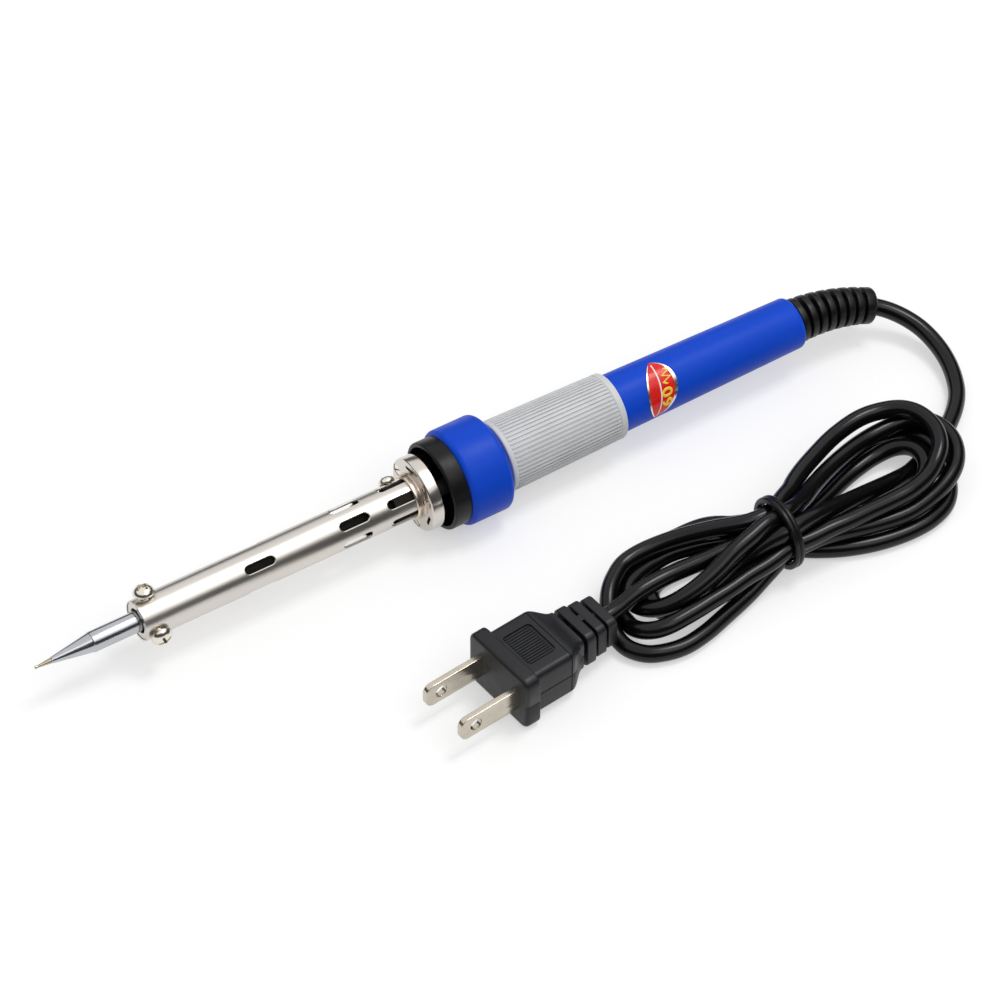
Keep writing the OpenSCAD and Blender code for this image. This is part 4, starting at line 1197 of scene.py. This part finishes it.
class IRON_OT_plug(bpy.types.Operator):
    """Moulded plug: front plate, body with a ribbed panel, shoulder and strain relief"""
    bl_idname = "iron.plug"
    bl_label = "Plug"

    # Front and back of the ribbed panel, its depth from the middle, and where the body's neck begins and ends
    panel, panel_at, neck = (4.9, 13.0), 6.1, (14.4, 20.0)

    def execute(self, context):
        paint = shade("plug_pvc")
        plate = add("plate", loft(block(0, 4, 21.4, 15.4, 2.4, 0.9, 0.45, notch=0.12)), paint, IN_PLUG)
        body = block(3.6, 14.5, 18, 13, 1.7, 0.1, 0.1, notch=0.14)[4:-5]
        for k in range(13):
            t = k / 12
            ease = 0.5 - 0.5 * math.cos(math.pi * t)
            body.append([(self.neck[0] + (self.neck[1] - self.neck[0]) * t, y, z) for y, z in
                         outline(18 + (12.4 - 18) * ease, 13 + (10 - 13) * ease, 1.7, 0.14)])
        body.append([(20.3, y, z) for y, z in outline(11.8, 9.4, 1.5, 0.1)])
        shell = add("shell", loft(body), paint, IN_PLUG)
        middle = sum(self.panel) / 2
        tools, bars = [], []
        for way in (1, -1):
            recess = outline(self.panel[1] - self.panel[0], 10.2, 1.1)
            tools.append(add("recess", loft([[(middle + a, b, way * z) for a, b in recess]
                                             for z in (self.panel_at, 8)]), paint, IN_PLUG))
            bar = add(f"panel_{way + 1}", loft(block(-3.55, 3.55, 0.4, 0.6, 0.2, 0.2, 0.2)), paint, Matrix())
            bar.data.transform(Matrix.Rotation(math.radians(-90), 4, "Z"))
            bars.append(along(bar, [IN_PLUG @ Vector((middle, t, way * self.panel_at)) for t in (-4.5, 4.5)], 13))
        cut(shell, *tools, self.groove(14.15, 0.28, paint), sharp=30)
        placed(joined("plug_shell", plate, shell, *bars), IRON, "plug_pvc", "plug_body", "plug_bridge")

        fin = add("plug_relief_fins", loft(block(-1.3, 1.3, 12.6, 10, 2.0, 0.3, 0.3)), paint, Matrix())
        fins = along(fin, [IN_PLUG @ Vector((x, 0, 0)) for x in (22.4, 29.2)], 3, 0.86)
        core = add("core", loft(block(19.5, 30, 7, 6.6, 1.2)), paint, IN_PLUG)
        webs = [add("web", loft([[(x + a, b + w, c) for b, c in outline(wide, high, 0.2)] for a in (-0.7, 0.7)]),
                    paint, IN_PLUG)
                for x, w, wide, high in ((20.7, 0, 1, 7.6), (24.1, 0.5, 1.9, 9.1), (27.5, 0, 1, 7.4))]
        placed(joined("plug_relief", fins, core, *webs), IRON, "plug_pvc")

        # The body is a little narrower than the CAD solid, so the joints inside it are drawn in to match
        axis = Matrix.Translation(IN_PLUG.translation * MM) @ IN_PLUG.to_3x3().to_4x4()
        draw_in = axis @ Matrix.Diagonal((1, 0.84, 1, 1)) @ axis.inverted()
        for node, slot in (("plug_crimps", "plated_brass"), ("plug_cores", "white_plastic")):
            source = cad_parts[node]
            mesh = source.data.copy()
            mesh.transform(draw_in @ source.matrix_world)
            mesh.materials.clear()
            mesh.materials.append(shade(slot))
            placed(stood(f"{node}_inside", mesh), IRON, slot, node)
        return {"FINISHED"}

    @staticmethod
    def groove(x, long, paint):
        """A square frame that cuts a groove round the body behind its panels."""
        ring, inner = outline(22, 16, 1.7), outline(17.6, 12.6, 1.5)
        n = len(ring)
        verts = [(x + dx, y, z) for dx in (0, long) for y, z in ring + inner]
        faces = []
        for k in range(n):
            q = (k + 1) % n
            faces += [(k, q, n + q, n + k), (2 * n + k, 3 * n + k, 3 * n + q, 2 * n + q),
                      (k, 2 * n + k, 2 * n + q, q), (n + k, n + q, 3 * n + q, 3 * n + k)]
        return add("groove", (verts, faces), paint, IN_PLUG)


class IRON_OT_blades(bpy.types.Operator):
    """Flat blades with rounded ends and a hole each"""
    bl_idname = "iron.blades"
    bl_label = "Blades"

    def execute(self, context):
        half, reach, inside, hole, bevel = 6.35 / 2, 16.0, 9.0, 4.3, 0.15
        flat = bpy.data.curves.new("blade", "CURVE")
        flat.dimensions, flat.fill_mode = "2D", "BOTH"
        flat.extrude, flat.bevel_depth, flat.bevel_resolution = 0.6 * MM, bevel * MM, 2
        body = rounded([(-reach + bevel, -half + bevel, 2.0), (inside - bevel, -half + bevel, 0.2),
                        (inside - bevel, half - bevel, 0.2), (-reach + bevel, half - bevel, 2.0)], steps=8)
        ring = [(-reach + hole + 1.75 * math.cos(a), 1.75 * math.sin(a))
                for a in np.linspace(0, 2 * math.pi, 40, endpoint=False)]
        for points in (body, ring):
            line_in(flat, [(x, y, 0) for x, y in points], use_cyclic_u=True)
        blades = []
        for side in (-1, 1):
            shape = stood("blade_outline", flat)
            context.view_layer.update()
            mesh = bpy.data.meshes.new_from_object(shape)
            discard(shape)
            stand = IN_PLUG @ Matrix.Translation((0, side * 6.35, 0)) @ Matrix.Rotation(math.radians(90), 4, "X")
            stand.translation *= MM
            mesh.transform(stand)
            tidy(mesh, 30)
            mesh.materials.clear()
            mesh.materials.append(shade("plated_brass"))
            blades.append(stood(f"blade_{side + 1}", mesh))
        placed(joined("plug_blades_flat", *blades), IRON, "plated_brass", "plug_blades")
        return {"FINISHED"}


class IRON_OT_inside(bpy.types.Operator):
    """Finishes on the CAD pieces that stay as they are: heater, splices, cores and spacers. The rear bushing, heater
    wrap, end bead and spacers get near-black painted shade
    """
    bl_idname = "iron.inside"
    bl_label = "Inside"

    # rear_bushing, heater_wrap, heater_end_bead and flange_spacers get near-black painted shade rather than their own
    # colours
    paints = {"rear_bushing": "burnt_steel", "heater_former": "heater_steel", "heater_winding": "heater_alloy",
              "heater_wrap": "mica", "heater_end_bead": "mica", "heater_leads": "heater_alloy",
              "lead_sleeves": "dark_sleeving", "flange_spacers": "dark_fibre", "splice_crimps": "tinned_copper",
              "splice_sleeves": "black_sleeve", "cord_cores": "white_plastic", "cord_jacket": "cord_pvc",
              "cord_ferrule": "tinned_copper"}

    def execute(self, context):
        for name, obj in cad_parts.items():
            paint = shade(self.paints.get(name, "black_sleeve"))
            if not obj.material_slots:
                obj.data.materials.append(paint)
            for slot in obj.material_slots:
                slot.material = paint
        return {"FINISHED"}


class IRON_PT_panel(bpy.types.Panel):
    """Lists the sizes and the pieces"""
    bl_idname = "IRON_PT_panel"
    bl_label = "Soldering iron"
    bl_space_type = "VIEW_3D"
    bl_region_type = "UI"
    bl_category = "Iron"

    def draw(self, context):
        for name, cls in SETTINGS.items():
            box = self.layout.box()
            for prop in cls.__annotations__:
                box.prop(getattr(context.scene, name), prop)
        for cls in OPERATORS:
            self.layout.operator(cls.bl_idname)


OPERATORS = [IRON_OT_stage, IRON_OT_inside, IRON_OT_tip, IRON_OT_barrel, IRON_OT_screws, IRON_OT_flange,
             IRON_OT_insulator, IRON_OT_handle, IRON_OT_grip, IRON_OT_label, IRON_OT_boot, IRON_OT_tie,
             IRON_OT_plug, IRON_OT_blades, IRON_OT_lead]
CLASSES = [*SETTINGS.values(), *OPERATORS, IRON_PT_panel]


def register():
    for cls in CLASSES:
        bpy.utils.register_class(cls)
    for name, cls in SETTINGS.items():
        setattr(bpy.types.Scene, name, PointerProperty(type=cls))


def unregister():
    for name in SETTINGS:
        delattr(bpy.types.Scene, name)
    for cls in reversed(CLASSES):
        bpy.utils.unregister_class(cls)


def main():
    register()
    around_tree()
    along_tree()
    for cls in OPERATORS:
        group, name = cls.bl_idname.split(".")
        getattr(getattr(bpy.ops, group), name)()


if __name__ == "__main__":
    main()
